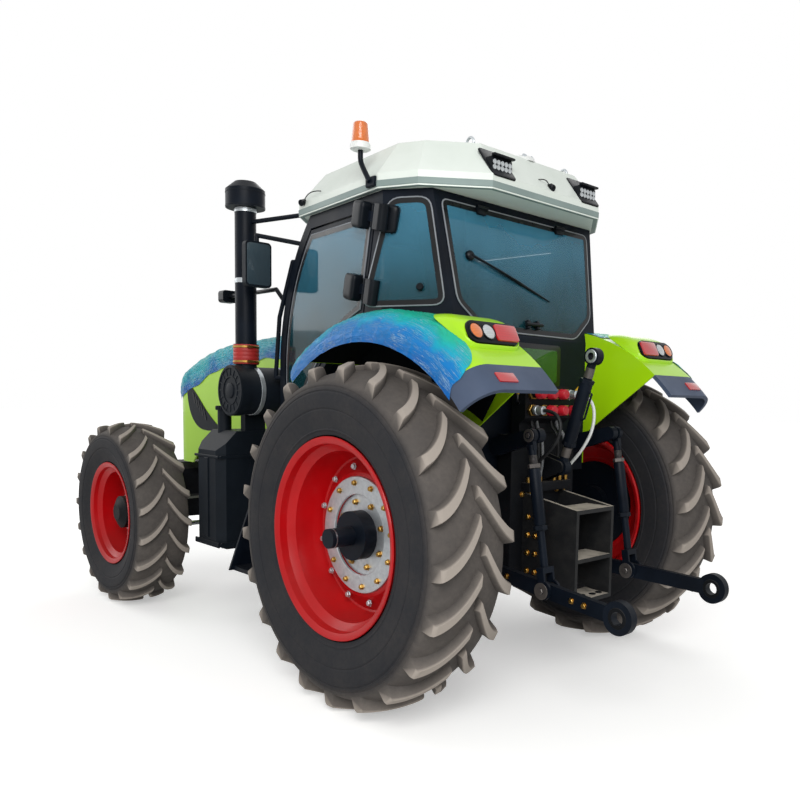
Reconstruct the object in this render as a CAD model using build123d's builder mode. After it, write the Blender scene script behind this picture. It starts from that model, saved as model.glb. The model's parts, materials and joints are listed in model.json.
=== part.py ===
from build123d import *
import os
from math import atan2, cos, degrees, pi, radians, sin, sqrt

# Four-wheel-drive farm tractor with a glazed cab and a rear three-point linkage.
# Millimetres, +X forward, +Y to the tractor's left, +Z up from the ground.
# Stations are measured forward from the rear axle; REAR_X places that axle so
# that the origin lies under the middle of the machine.

# Stance
WHEELBASE = 2820.0
REAR_REACH = 1285.0
FRONT_REACH = 1085.0
FIT_GAP = 0.3
SWING_GAP = 9.0

# Wheels
REAR_RADIUS = 877.5
REAR_WIDTH = 474.0
REAR_TRACK = 1970.0
REAR_SEAT_R = 482.6
REAR_RIM_WIDTH = 430.0
REAR_HOLE_R = 210.0
REAR_RING_R = 320.0
FRONT_RADIUS = 673.0
FRONT_WIDTH = 381.0
FRONT_TRACK = 2116.0
FRONT_SEAT_R = 355.6
FRONT_RIM_WIDTH = 324.0
FRONT_HOLE_R = 120.0
FRONT_RING_R = 215.0
RIM_PLATE = 12.0
FLANGE_HEIGHT = 25.0
DISC_PLATE = 14.0
DISC_SEAT = 22.0
DISH_DEPTH = 70.0
REAR_LUGS = 21
FRONT_LUGS = 19
TREAD_SHARE = 0.47
CENTRE_GAP = 8.0

# Lugs, in shares of the tyre's radius, and their sweep in shares of its half width
LUG_DEPTH = 0.05
LUG_WIDTH = 0.058
LUG_FLARE = 0.016
CROWN_DROP = 0.036
SHOULDER_DEPTH = 0.118
LUG_SWEEP = 1.02
LUG_BEND = 0.42
LUG_TURN = 0.62

# Hubs and axle bars
AXLE_BAR_R = 49.0
AXLE_BAR_REACH = 219.0
REAR_HUB_R = 125.0
REAR_HUB_LENGTH = 150.0
REAR_FLANGE_R = 292.0
HUB_FLANGE = 16.0

# Rear axle and gearbox
GEARBOX_FRONT = 1420.0
GEARBOX_REAR = -360.0
GEARBOX_HALF = 190.0
GEARBOX_LOW = 560.0
GEARBOX_TOP = 1100.0
AXLE_CASE_HALF = 270.0
AXLE_CASE_TOP = 1150.0
AXLE_CASE_FRONT = 320.0
TRUMPET_END = 650.0
TRUMPET_R = 172.0
TRUMPET_TIP_R = 105.0
BAR_SOCKET = 70.0

# Engine and front frame
ENGINE_FRONT = WHEELBASE - 280.0
ENGINE_HALF = 250.0
ENGINE_LOW = 745.0
ENGINE_TOP = 1600.0
SUPPORT_HALF = 170.0
SUPPORT_FRONT = WHEELBASE + 740.0
SUPPORT_TOP = 966.0
SUPPORT_LOW = 838.0
WEIGHT_COUNT = 10
WEIGHT_PITCH = 66.0
WEIGHT_GROOVE = 10.0
WEIGHT_LOW = 560.0
WEIGHT_HIGH = 960.0

# Front axle and steering
BEAM_HALF_X = 62.0
BEAM_ROOT = 82.0
BEAM_TIP = 64.0
KINGPIN_Y = 870.0
BOSS_R = 70.0
DIFF_R = 148.0
TRUNNION_R = 50.0
TRUNNION_REACH = 262.0
TRUNNION_LUG = 48.0
PROPSHAFT_R = 42.0
FORK_PLATE = 34.0
FORK_GAP = 10.0
FORK_R = 95.0
KNUCKLE_WALL = 20.0
SPINDLE_R = 58.0
SPINDLE_LENGTH = 70.0
STEER_ARM = 190.0
STEER_ARM_HALF = 32.0
CYLINDER_R = 36.0
CYLINDER_HALF = 270.0
STEER_ROD_R = 18.0
ROD_EYE_R = 34.0

# Cab
SILL_Z = 1200.0
FLOOR_PLATE = 40.0
CAB_TOP = 2650.0
CAB_FRONT = 1335.0
CAB_FRONT_HALF = 665.0
PILLAR_STRAIGHT = 1740.0
SCREEN_TOP_STATION = 915.0
CAB_REAR = -250.0
CAB_REAR_TOP = -128.0
CAB_REAR_HALF = 590.0
REAR_SILL = 1930.0
B_STATION = 105.0
CAB_HALF = 800.0
CAB_WALL = 52.0
GLASS_INSET = 14.0
GLASS_THICK = 6.0
B_TOP_STATION = 120.0
B_LEAN = 0.2287
B_LEAN_FROM = 2626.0
B_HALF = 28.0
PILLAR = 72.0
HEADER_Z = 2575.0
DOOR_LOW = 1262.0
DOOR_GAP = 12.0
DOOR_WALL = 38.0
DOOR_CORNER = (110.0, 20.0)
DOOR_RIM = 62.0
HINGE_OUT = 24.0
HINGE_PIN_R = 8.0
HINGE_BARREL_R = 14.0
HINGE_LENGTH = 54.0
HINGE_HIGH = 2520.0
HINGE_LOW = 2150.0
COVER_NEAR = 52.0
COVER_LENGTH = 88.0
COVER_HALF = 64.0
COVER_OUT = 44.0
COVER_LIFT = 7.0
COVER_ROUND = 26.0

# Roof
ROOF_LOW = 2652.0
ROOF_SKIRT = 75.0
ROOF_CROWN = 190.0
ROOF_TAPER = 38.0
ROOF_FRONT = 1130.0
ROOF_REAR = -350.0
ROOF_REAR_HALF = 450.0
ROOF_HALF = 835.0

# Fenders
FENDER_R = 1140.0
FENDER_EDGE_R = 985.0
FENDER_SHEET = 9.0
FENDER_IN = 500.0
FENDER_FLAT = 860.0
FENDER_OUT = 1030.0
FENDER_FRONT_ANGLE = 38.0
FENDER_REAR_ANGLE = 41.0
FENDER_WALL_LOW = 1370.0
SKIRT_ANGLE = 8.0
SKIRT_SHEET = 22.0
LAMP_ANGLE = 29.0
LAMP_HEIGHT = 86.0
LAMP_DEPTH = 34.0
LAMP_IN = 545.0
LAMP_OUT = 865.0

# Bonnet
BONNET_REAR = 1405.0
BONNET_REAR_TOP = 2020.0
BONNET_MID = WHEELBASE - 120.0
BONNET_MID_TOP = 1962.0
NOSE_TOP_STATION = WHEELBASE + 600.0
NOSE_TOP = 1785.0
NOSE_TIP = WHEELBASE + 900.0
NOSE_TIP_Z = 1560.0
NOSE_LOW_STATION = WHEELBASE + 740.0
BONNET_LOW = 980.0
BONNET_SIDE_LOW = 1180.0
BONNET_HALF = 392.0
NOSE_HALF = 335.0
BONNET_SHEET = 14.0
SHOULDER_R = 70.0
BONNET_PIN_R = 12.0
BONNET_PIN_STATION = 1470.0
BONNET_PIN_Z = 1945.0

# Tank, air cleaner, stacks
TANK_REAR = 1620.0
TANK_FRONT = 1965.0
TANK_IN = 450.0
TANK_OUT = 950.0
TANK_LOW = 540.0
TANK_TOP = 1330.0
TANK_SHOULDER = 1200.0
FILLER_R = 46.0
FILLER_LENGTH = 165.0
BOX_REAR = 1405.0
BOX_TOP = 1050.0
CLEANER_STATION = 1575.0
CLEANER_Z = 1600.0
CLEANER_R = 158.0
CLEANER_IN = 470.0
CLEANER_OUT = 890.0
STACK_Y = 775.0
STACK_R = 68.0
STACK_TOP = 2780.0
STACK_CAP_R = 125.0
STACK_CAP_TOP = 2945.0
HOSE_R = 80.0
HOSE_TOP = 1905.0
EXHAUST_R = 62.0
MUFFLER_R = 115.0
MUFFLER_LOW = 1270.0
MUFFLER_TOP = 1990.0
EXHAUST_TOP = 2720.0

# Steps and rails
STEP_REAR = 985.0
STEP_FRONT = 1330.0
STEP_IN = 700.0
STEP_OUT = 1040.0
STEP_LOW = 470.0
STEP_COUNT = 3
STEP_PLATE = 26.0
RAIL_R = 14.0

# Rear linkage
LINK_PIVOT_X = -150.0
LINK_PIVOT_Y = 300.0
LINK_PIVOT_Z = 655.0
LINK_END_Y = 434.0
LINK_END_Z = 595.0
LINK_EYE_R = 80.0
LINK_HOLE_R = 32.0
LINK_HEIGHT = 78.0
LINK_THICK = 34.0
LINK_PIN_R = 18.0
ROD_PIN_STATION = -717.0
ARM_SHAFT_STATION = -312.0
ARM_SHAFT_Z = 1330.0
ARM_SHAFT_R = 42.0
ARM_END_STATION = -584.0
ARM_END_Z = 1400.0
ARM_THICK = 44.0
LIFT_ROD_R = 21.0
TOP_PIVOT_STATION = -495.0
TOP_PIVOT_Z = 1215.0
TOP_LINK_LENGTH = 632.0
TOP_LINK_LEAN = 17.8
TOP_LINK_R = 24.0
TOP_EYE_R = 46.0
TOP_HOLE_R = 15.0
TOP_EYE_WIDTH = 51.0
HITCH_HALF = 165.0
HITCH_REAR = -735.0
HITCH_LOW = 505.0
HITCH_TOP = 1010.0
HITCH_PLATE = 22.0
DRAWBAR_HOLE_R = 17.0
PTO_R = 17.5
PTO_LENGTH = 100.0
PTO_Z = 800.0

# Derived places
REAR_X = (REAR_REACH - WHEELBASE - FRONT_REACH) / 2
LINK_END_STATION = LINK_EYE_R - REAR_REACH
WEIGHT_FRONT = WHEELBASE + FRONT_REACH
ROOF_TOP = ROOF_LOW + ROOF_SKIRT + ROOF_CROWN


def side(y=0.0):
    """Upright plane across the width at y: local x is the station, local y the height."""
    return Plane(origin=(REAR_X, y, 0), x_dir=(1, 0, 0), z_dir=(0, -1, 0))


def plan(z=0.0):
    """Level plane at height z: local x is the station, local y the width."""
    return Plane(origin=(REAR_X, 0, z))


def front(station=0.0):
    """Upright plane across the length: local x is the width, local y the height."""
    return Plane(origin=(REAR_X + station, 0, 0), x_dir=(0, 1, 0), z_dir=(1, 0, 0))


def place(station, y, z):
    """Point given by its station, width and height."""
    return Vector(REAR_X + station, y, z)


def across(station, z):
    """Axis across the width through a station and height."""
    return Axis(place(station, 0, z), (0, 1, 0))


def round_bar(start, end, radius):
    """Round bar from one point to another."""
    run = end - start
    with BuildPart() as bar:
        with BuildSketch(Plane(origin=start, z_dir=run)):
            Circle(radius)
        extrude(amount=run.length)
    return bar.part


def save(piece, name):
    """Labels a finished piece and writes its STEP file."""
    piece.label = name
    export_step(piece, f"parts/{name}.step")


os.makedirs("parts", exist_ok=True)


# Wheels
def split_band(first, second, shift=0):
    """Triangles between two closed rows of points; shift turns the second row back."""
    count = len(first)
    faces = []
    for j in range(count):
        here, ahead = first[j], first[(j + 1) % count]
        far, near = second[(j + 1 + shift) % count], second[(j + shift) % count]
        faces.append(Face(Wire.make_polygon([here, ahead, far])))
        faces.append(Face(Wire.make_polygon([here, far, near])))
    return faces


def flat_band(first, second, shift=0):
    """Flat four-sided faces between two closed rows of points."""
    count = len(first)
    faces = []
    for j in range(count):
        corners = [
            first[j],
            first[(j + 1) % count],
            second[(j + 1 + shift) % count],
            second[(j + shift) % count],
        ]
        faces.append(Face(Wire.make_polygon(corners)))
    return faces


def make_tyre(station, radius, width, track, seat_r, rim_width, lugs):
    """Tyre of flat facets: two rows of bent lugs on a carcass seated between the flanges."""
    pitch = 2 * pi / lugs
    half = width / 2
    sweep = LUG_SWEEP * half / radius
    top_turn = LUG_WIDTH / 2
    foot_turn = LUG_WIDTH / 2 + LUG_FLARE
    bead = rim_width / 2 - RIM_PLATE - FIT_GAP
    flange_r = seat_r + FLANGE_HEIGHT + FIT_GAP
    rows = [
        (CENTRE_GAP, 0, radius, radius * (1 - LUG_DEPTH)),
        (
            half * LUG_BEND,
            sweep * LUG_TURN,
            radius * (1 - CROWN_DROP / 6),
            radius * (1 - LUG_DEPTH * 1.15),
        ),
        (
            width * TREAD_SHARE,
            sweep,
            radius * (1 - CROWN_DROP),
            radius * (1 - SHOULDER_DEPTH),
        ),
    ]
    walls = [
        (half, (flange_r + radius) / 2),
        (bead, flange_r / cos(pitch / 4)),
        (bead, (seat_r + FIT_GAP) / cos(pitch / 4)),
    ]

    def spot(y, r, turn):
        """Point of the tyre: turn is the angle forward from straight below the axle."""
        return place(station + r * sin(turn), track / 2 + y, radius - r * cos(turn))

    faces = []
    feet, seats = [], []
    for hand, phase in ((1, 0), (-1, pitch / 2)):
        starts = [phase + pitch * n for n in range(lugs)]
        lines = []
        for y, turn, top_r, foot_r in rows:
            line = []
            for start in starts:
                middle = start + turn
                line.append(spot(hand * y, foot_r, middle - foot_turn))
                line.append(spot(hand * y, top_r / cos(top_turn), middle - top_turn))
                line.append(spot(hand * y, top_r / cos(top_turn), middle + top_turn))
                line.append(spot(hand * y, foot_r, middle + foot_turn))
            lines.append(line)
        for inner, outer in zip(lines, lines[1:]):
            faces += split_band(inner, outer)
        for line in (lines[0], lines[-1]):
            for n in range(lugs):
                faces.append(Face(Wire.make_polygon(line[4 * n : 4 * n + 4])))
        rings = [
            [
                spot(hand * y, r, start + sweep + part)
                for start in starts
                for part in (-pitch / 4, pitch / 4)
            ]
            for y, r in walls
        ]
        shoulder = [point for n, point in enumerate(lines[-1]) if n % 4 in (0, 3)]
        faces += split_band(shoulder, rings[0])
        faces += flat_band(rings[0], rings[1])
        faces += flat_band(rings[1], rings[2])
        feet.append([point for n, point in enumerate(lines[0]) if n % 4 in (0, 3)])
        seats.append(rings[2])
    faces += split_band(feet[0], feet[1], shift=-1)
    faces += flat_band(seats[0], seats[1], shift=-1)
    with BuildPart() as tyre:
        add(Solid(Shell(faces)))
    return tyre.part


def make_rim(station, radius, track, seat_r, rim_width, hole_r, ring_r, seat):
    """Rim channel with a dished disc; seat is how far the disc face stands outboard."""
    centre = track / 2
    half = rim_width / 2
    inner_r = seat_r - RIM_PLATE
    flange_r = seat_r + FLANGE_HEIGHT
    channel = [
        (-half, inner_r),
        (half, inner_r),
        (half, flange_r),
        (half - RIM_PLATE, flange_r),
        (half - RIM_PLATE, seat_r),
        (RIM_PLATE - half, seat_r),
        (RIM_PLATE - half, flange_r),
        (-half, flange_r),
    ]
    disc = [
        (seat - DISC_PLATE, hole_r),
        (seat, hole_r),
        (seat, ring_r),
        (seat - DISH_DEPTH, inner_r + RIM_PLATE / 2),
        (seat - DISH_DEPTH - DISC_PLATE, inner_r + RIM_PLATE / 2),
        (seat - DISC_PLATE, ring_r),
    ]
    with BuildPart() as rim:
        with BuildSketch(front(station)):
            for outline in (channel, disc):
                with BuildLine():
                    Polyline(*[(centre + y, radius + r) for y, r in outline], close=True)
                make_face()
        revolve(axis=across(station, radius))
    return rim.part


def make_rear_hub():
    """Bar axle with its clamp hub and the flange that the disc bolts to."""
    centre = REAR_TRACK / 2
    face = centre + DISC_SEAT - DISC_PLATE
    steps = [
        (TRUMPET_END - BAR_SOCKET + FIT_GAP, 0),
        (TRUMPET_END - BAR_SOCKET + FIT_GAP, AXLE_BAR_R),
        (face - REAR_HUB_LENGTH / 2, AXLE_BAR_R),
        (face - REAR_HUB_LENGTH / 2, REAR_HUB_R),
        (face - HUB_FLANGE, REAR_HUB_R),
        (face - HUB_FLANGE, REAR_FLANGE_R),
        (face, REAR_FLANGE_R),
        (face, REAR_HUB_R),
        (face + REAR_HUB_LENGTH / 2, REAR_HUB_R),
        (face + REAR_HUB_LENGTH / 2, AXLE_BAR_R),
        (centre + AXLE_BAR_REACH, AXLE_BAR_R),
        (centre + AXLE_BAR_REACH, 0),
    ]
    with BuildPart() as hub:
        with BuildSketch(front()):
            with BuildLine():
                Polyline(*[(y, REAR_RADIUS + r) for y, r in steps], close=True)
            make_face()
        revolve(axis=across(0, REAR_RADIUS))
    return hub.part


KNUCKLE_FACE = KINGPIN_Y + BOSS_R + FORK_GAP + KNUCKLE_WALL


def make_front_hub():
    """Planetary hub that turns on the knuckle's spindle and carries the front disc."""
    face = FRONT_TRACK / 2 - DISC_SEAT - DISC_PLATE
    inner = KNUCKLE_FACE + FIT_GAP
    steps = [
        (inner, SPINDLE_R + FIT_GAP),
        (inner, FRONT_HOLE_R + HUB_FLANGE),
        (face - HUB_FLANGE, FRONT_HOLE_R + HUB_FLANGE),
        (face - HUB_FLANGE, FRONT_RING_R - HUB_FLANGE),
        (face, FRONT_RING_R - HUB_FLANGE),
        (face, FRONT_HOLE_R - FIT_GAP),
        (face + 7 * HUB_FLANGE, FRONT_HOLE_R - FIT_GAP),
        (face + 9 * HUB_FLANGE, FRONT_HOLE_R / 2),
        (face + 9 * HUB_FLANGE, 0),
        (inner + SPINDLE_LENGTH + FIT_GAP, 0),
        (inner + SPINDLE_LENGTH + FIT_GAP, SPINDLE_R + FIT_GAP),
    ]
    with BuildPart() as hub:
        with BuildSketch(front(WHEELBASE)):
            with BuildLine():
                Polyline(*[(y, FRONT_RADIUS + r) for y, r in steps], close=True)
            make_face()
        revolve(axis=across(WHEELBASE, FRONT_RADIUS))
    return hub.part


left_wheels = {
    "rear_tyre": make_tyre(
        0, REAR_RADIUS, REAR_WIDTH, REAR_TRACK, REAR_SEAT_R, REAR_RIM_WIDTH, REAR_LUGS
    ),
    "rear_rim": make_rim(
        0, REAR_RADIUS, REAR_TRACK, REAR_SEAT_R, REAR_RIM_WIDTH,
        REAR_HOLE_R, REAR_RING_R, DISC_SEAT,
    ),
    "rear_hub": make_rear_hub(),
    "front_tyre": make_tyre(
        WHEELBASE, FRONT_RADIUS, FRONT_WIDTH, FRONT_TRACK, FRONT_SEAT_R,
        FRONT_RIM_WIDTH, FRONT_LUGS,
    ),
    "front_rim": make_rim(
        WHEELBASE, FRONT_RADIUS, FRONT_TRACK, FRONT_SEAT_R, FRONT_RIM_WIDTH,
        FRONT_HOLE_R, FRONT_RING_R, -DISC_SEAT,
    ),
    "front_hub": make_front_hub(),
}
for name, piece in left_wheels.items():
    save(piece, f"{name}_left")
    with BuildPart() as opposite:
        mirror(piece, about=Plane.XZ)
    save(opposite.part, f"{name}_right")


# Gearbox, rear axle and engine
CHEEK = 16.0
CHEEK_Y = TOP_EYE_WIDTH / 2 + 2
with BuildPart() as gearbox:
    with BuildSketch(side()):
        with BuildLine():
            Polyline(
                (GEARBOX_REAR, GEARBOX_LOW),
                (GEARBOX_FRONT, GEARBOX_LOW + 60),
                (GEARBOX_FRONT, GEARBOX_TOP),
                (AXLE_CASE_FRONT, GEARBOX_TOP),
                (GEARBOX_REAR, GEARBOX_TOP),
                close=True,
            )
        make_face()
    extrude(amount=GEARBOX_HALF, both=True)
    with BuildSketch(side()):
        with BuildLine():
            Polyline(
                (GEARBOX_REAR, GEARBOX_LOW),
                (AXLE_CASE_FRONT, GEARBOX_LOW),
                (AXLE_CASE_FRONT, GEARBOX_TOP),
                (AXLE_CASE_FRONT - 120, AXLE_CASE_TOP),
                (GEARBOX_REAR, AXLE_CASE_TOP),
                close=True,
            )
        make_face()
    extrude(amount=AXLE_CASE_HALF, both=True)
    with BuildSketch(side()):
        with BuildLine():
            Polyline(
                (GEARBOX_REAR, AXLE_CASE_TOP - 50),
                (CAB_REAR - 12, AXLE_CASE_TOP - 50),
                (CAB_REAR - 12, ARM_SHAFT_Z + 60),
                (GEARBOX_REAR, ARM_SHAFT_Z + 60),
                close=True,
            )
        make_face()
    extrude(amount=AXLE_CASE_HALF, both=True)
    with BuildSketch(side()):
        with Locations((ARM_SHAFT_STATION, ARM_SHAFT_Z)):
            Circle(ARM_SHAFT_R + FIT_GAP)
    extrude(amount=AXLE_CASE_HALF, both=True, mode=Mode.SUBTRACT)
    for y in (-CHEEK_Y, CHEEK_Y + CHEEK):
        with BuildSketch(side(y)):
            with BuildLine():
                Polyline(
                    (GEARBOX_REAR, TOP_PIVOT_Z - 90),
                    (TOP_PIVOT_STATION, TOP_PIVOT_Z - 34),
                    (TOP_PIVOT_STATION, TOP_PIVOT_Z + 34),
                    (GEARBOX_REAR, TOP_PIVOT_Z + 70),
                    close=True,
                )
            make_face()
            with Locations((TOP_PIVOT_STATION, TOP_PIVOT_Z)):
                Circle(34)
        extrude(amount=CHEEK)
    with BuildSketch(side()):
        with Locations((TOP_PIVOT_STATION, TOP_PIVOT_Z)):
            Circle(TOP_HOLE_R - FIT_GAP)
    extrude(amount=CHEEK_Y + CHEEK, both=True)
    with BuildSketch(side()):
        with Locations((LINK_PIVOT_X, LINK_PIVOT_Z)):
            Circle(LINK_PIN_R - FIT_GAP)
    extrude(amount=LINK_PIVOT_Y + LINK_THICK / 2 + 8, both=True)
save(gearbox.part, "transmission_housing")

with BuildPart() as rear_axle:
    with BuildSketch(front()):
        with BuildLine():
            Polyline(
                (AXLE_CASE_HALF, REAR_RADIUS),
                (AXLE_CASE_HALF, REAR_RADIUS + TRUMPET_R),
                (TRUMPET_END - BAR_SOCKET, REAR_RADIUS + TRUMPET_TIP_R),
                (TRUMPET_END, REAR_RADIUS + TRUMPET_TIP_R),
                (TRUMPET_END, REAR_RADIUS + AXLE_BAR_R + FIT_GAP),
                (TRUMPET_END - BAR_SOCKET, REAR_RADIUS + AXLE_BAR_R + FIT_GAP),
                (TRUMPET_END - BAR_SOCKET, REAR_RADIUS),
                close=True,
            )
        make_face()
    revolve(axis=across(0, REAR_RADIUS))
    mirror(about=Plane.XZ)
save(rear_axle.part, "rear_axle")

POST_HALF = 30.0
POST_Y = 205.0
with BuildPart() as engine:
    with BuildSketch(front(GEARBOX_FRONT)):
        with BuildLine():
            Polyline(
                (-ENGINE_HALF * 0.7, ENGINE_LOW),
                (ENGINE_HALF * 0.7, ENGINE_LOW),
                (ENGINE_HALF, ENGINE_LOW + 170),
                (ENGINE_HALF, ENGINE_TOP - 170),
                (ENGINE_HALF * 0.6, ENGINE_TOP),
                (-ENGINE_HALF * 0.6, ENGINE_TOP),
                (-ENGINE_HALF, ENGINE_TOP - 170),
                (-ENGINE_HALF, ENGINE_LOW + 170),
                close=True,
            )
        make_face()
    extrude(amount=ENGINE_FRONT - GEARBOX_FRONT)
    with BuildSketch(side()):
        with BuildLine():
            Polyline(
                (BONNET_PIN_STATION - POST_HALF, ENGINE_TOP - 200),
                (BONNET_PIN_STATION + POST_HALF, ENGINE_TOP - 200),
                (BONNET_PIN_STATION + POST_HALF, BONNET_PIN_Z),
                (BONNET_PIN_STATION - POST_HALF, BONNET_PIN_Z),
                close=True,
            )
        make_face()
    extrude(amount=POST_Y, both=True)
    with BuildSketch(side()):
        with Locations((BONNET_PIN_STATION, BONNET_PIN_Z)):
            Circle(POST_HALF)
    extrude(amount=POST_Y, both=True)
    with BuildSketch(side()):
        with Locations((BONNET_PIN_STATION, BONNET_PIN_Z)):
            Circle(BONNET_PIN_R)
    extrude(amount=POST_Y + 60, both=True)
save(engine.part, "engine_block")

# Front frame: the casting ahead of the engine, its trunnion lugs and the weights
AXLE_Z = FRONT_RADIUS
LUG_NEAR = TRUNNION_REACH - TRUNNION_LUG - 4
with BuildPart() as front_support:
    with BuildSketch(side()):
        with BuildLine():
            Polyline(
                (ENGINE_FRONT, SUPPORT_LOW),
                (SUPPORT_FRONT, SUPPORT_LOW),
                (SUPPORT_FRONT, SUPPORT_TOP),
                (ENGINE_FRONT, SUPPORT_TOP),
                close=True,
            )
        make_face()
    extrude(amount=SUPPORT_HALF, both=True)
    for station in (WHEELBASE - LUG_NEAR - TRUNNION_LUG, WHEELBASE + LUG_NEAR):
        with BuildSketch(front(station)):
            with BuildLine():
                Polyline(
                    (-TRUNNION_R * 1.6, AXLE_Z - TRUNNION_R * 1.2),
                    (TRUNNION_R * 1.6, AXLE_Z - TRUNNION_R * 1.2),
                    (SUPPORT_HALF, SUPPORT_LOW + 10),
                    (-SUPPORT_HALF, SUPPORT_LOW + 10),
                    close=True,
                )
            make_face()
            with Locations((0, AXLE_Z)):
                Circle(TRUNNION_R + FIT_GAP, mode=Mode.SUBTRACT)
        extrude(amount=TRUNNION_LUG)
save(front_support.part, "front_support")

WEIGHT_HALF = WEIGHT_COUNT * WEIGHT_PITCH / 2
with BuildPart() as weights:
    with BuildSketch(side()):
        with BuildLine():
            Polyline(
                (SUPPORT_FRONT, WEIGHT_HIGH - 60),
                (SUPPORT_FRONT, WEIGHT_LOW + 110),
                (SUPPORT_FRONT + 90, WEIGHT_LOW),
                (WEIGHT_FRONT - 50, WEIGHT_LOW),
                (WEIGHT_FRONT, WEIGHT_LOW + 90),
                (WEIGHT_FRONT, WEIGHT_HIGH - 70),
                (WEIGHT_FRONT - 60, WEIGHT_HIGH),
                (SUPPORT_FRONT + 40, WEIGHT_HIGH),
                close=True,
            )
        make_face()
    extrude(amount=WEIGHT_HALF, both=True)
    with BuildSketch(plan(WEIGHT_LOW - 10)):
        with Locations(((SUPPORT_FRONT + WEIGHT_FRONT) / 2 + 80, 0)):
            with GridLocations(0, WEIGHT_PITCH, 1, WEIGHT_COUNT - 1):
                Rectangle(WEIGHT_FRONT - SUPPORT_FRONT, WEIGHT_GROOVE)
    extrude(amount=WEIGHT_HIGH, mode=Mode.SUBTRACT)
save(weights.part, "front_weights")

# Front axle: beam, kingpin bosses, differential, trunnions and drive shaft
with BuildPart() as front_axle:
    with BuildSketch(front(WHEELBASE)):
        with BuildLine():
            Polyline(
                (-KINGPIN_Y, AXLE_Z - BEAM_TIP),
                (0, AXLE_Z - BEAM_ROOT),
                (KINGPIN_Y, AXLE_Z - BEAM_TIP),
                (KINGPIN_Y, AXLE_Z + BEAM_TIP),
                (0, AXLE_Z + BEAM_ROOT),
                (-KINGPIN_Y, AXLE_Z + BEAM_TIP),
                close=True,
            )
        make_face()
    extrude(amount=BEAM_HALF_X, both=True)
    with BuildSketch(plan(AXLE_Z)):
        with Locations((WHEELBASE, KINGPIN_Y), (WHEELBASE, -KINGPIN_Y)):
            Circle(BOSS_R)
    extrude(amount=BEAM_TIP + 4, both=True)
    with BuildSketch(front(WHEELBASE - DIFF_R * 0.85)):
        with Locations((0, AXLE_Z)):
            Circle(DIFF_R)
    extrude(amount=DIFF_R * 1.95)
    with BuildSketch(front(WHEELBASE)):
        with Locations((0, AXLE_Z)):
            Circle(TRUNNION_R)
    extrude(amount=TRUNNION_REACH, both=True)
    with BuildSketch(front(GEARBOX_FRONT)):
        with Locations((0, AXLE_Z)):
            Circle(PROPSHAFT_R)
    extrude(amount=WHEELBASE - GEARBOX_FRONT)
save(front_axle.part, "front_axle")

# Knuckle: fork round the boss, spindle for the hub and the arm the cylinder pushes
FORK_IN = BEAM_TIP + 4 + FIT_GAP
ROD_Z = AXLE_Z - TRUNNION_R * 1.2 - CYLINDER_R - SWING_GAP
ARM_TOP = ROD_Z - STEER_ROD_R - SWING_GAP
ARM_LOW = ARM_TOP - FORK_PLATE
with BuildPart() as knuckle:
    for z in (AXLE_Z + FORK_IN, AXLE_Z - FORK_IN - FORK_PLATE):
        with BuildSketch(plan(z)):
            with Locations((WHEELBASE, KINGPIN_Y)):
                Circle(FORK_R)
            with Locations((WHEELBASE, (KINGPIN_Y + KNUCKLE_FACE) / 2)):
                Rectangle(2 * FORK_R, KNUCKLE_FACE - KINGPIN_Y)
        extrude(amount=FORK_PLATE)
    with BuildSketch(plan(AXLE_Z - FORK_IN - FORK_PLATE)):
        with Locations((WHEELBASE, KNUCKLE_FACE - KNUCKLE_WALL / 2)):
            Rectangle(2 * FORK_R, KNUCKLE_WALL)
    extrude(amount=2 * (FORK_IN + FORK_PLATE))
    with BuildSketch(Plane(origin=place(WHEELBASE, KNUCKLE_FACE, AXLE_Z), z_dir=(0, 1, 0))):
        Circle(SPINDLE_R)
    extrude(amount=SPINDLE_LENGTH)
    with BuildSketch(plan(ARM_LOW)):
        with Locations((WHEELBASE, KINGPIN_Y)):
            Circle(FORK_R / 2)
    extrude(amount=AXLE_Z - FORK_IN - ARM_LOW)
    with BuildSketch(plan(ARM_LOW)):
        with Locations((WHEELBASE - STEER_ARM / 2, KINGPIN_Y)):
            SlotOverall(STEER_ARM + 2 * STEER_ARM_HALF, 2 * STEER_ARM_HALF)
    extrude(amount=FORK_PLATE)
save(knuckle.part, "knuckle_left")
with BuildPart() as knuckle_right:
    mirror(knuckle.part, about=Plane.XZ)
save(knuckle_right.part, "knuckle_right")

ROD_STATION = WHEELBASE - STEER_ARM
with BuildPart() as steering_cylinder:
    with BuildSketch(side()):
        with Locations((ROD_STATION, ROD_Z)):
            Circle(CYLINDER_R)
    extrude(amount=CYLINDER_HALF, both=True)
    with BuildSketch(plan(ROD_Z)):
        foot = STEER_ARM - BEAM_HALF_X
        for y in (CYLINDER_HALF - 35, 35 - CYLINDER_HALF):
            with Locations((ROD_STATION + foot / 2, y)):
                Rectangle(foot, 50)
    extrude(amount=AXLE_Z - ROD_Z)
    with BuildSketch(side()):
        with Locations((ROD_STATION, ROD_Z)):
            Circle(STEER_ROD_R + FIT_GAP)
    extrude(amount=CYLINDER_HALF, both=True, mode=Mode.SUBTRACT)
save(steering_cylinder.part, "steering_cylinder")

with BuildPart() as steering_rod:
    with BuildSketch(side()):
        with Locations((ROD_STATION, ROD_Z)):
            Circle(STEER_ROD_R)
    extrude(amount=KINGPIN_Y - ROD_EYE_R / 2, both=True)
    with BuildSketch(plan(ROD_Z)):
        with Locations((ROD_STATION, KINGPIN_Y), (ROD_STATION, -KINGPIN_Y)):
            Circle(ROD_EYE_R)
            Circle(ROD_EYE_R / 2, mode=Mode.SUBTRACT)
    extrude(amount=STEER_ROD_R, both=True)
save(steering_rod.part, "steering_rod")


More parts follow.
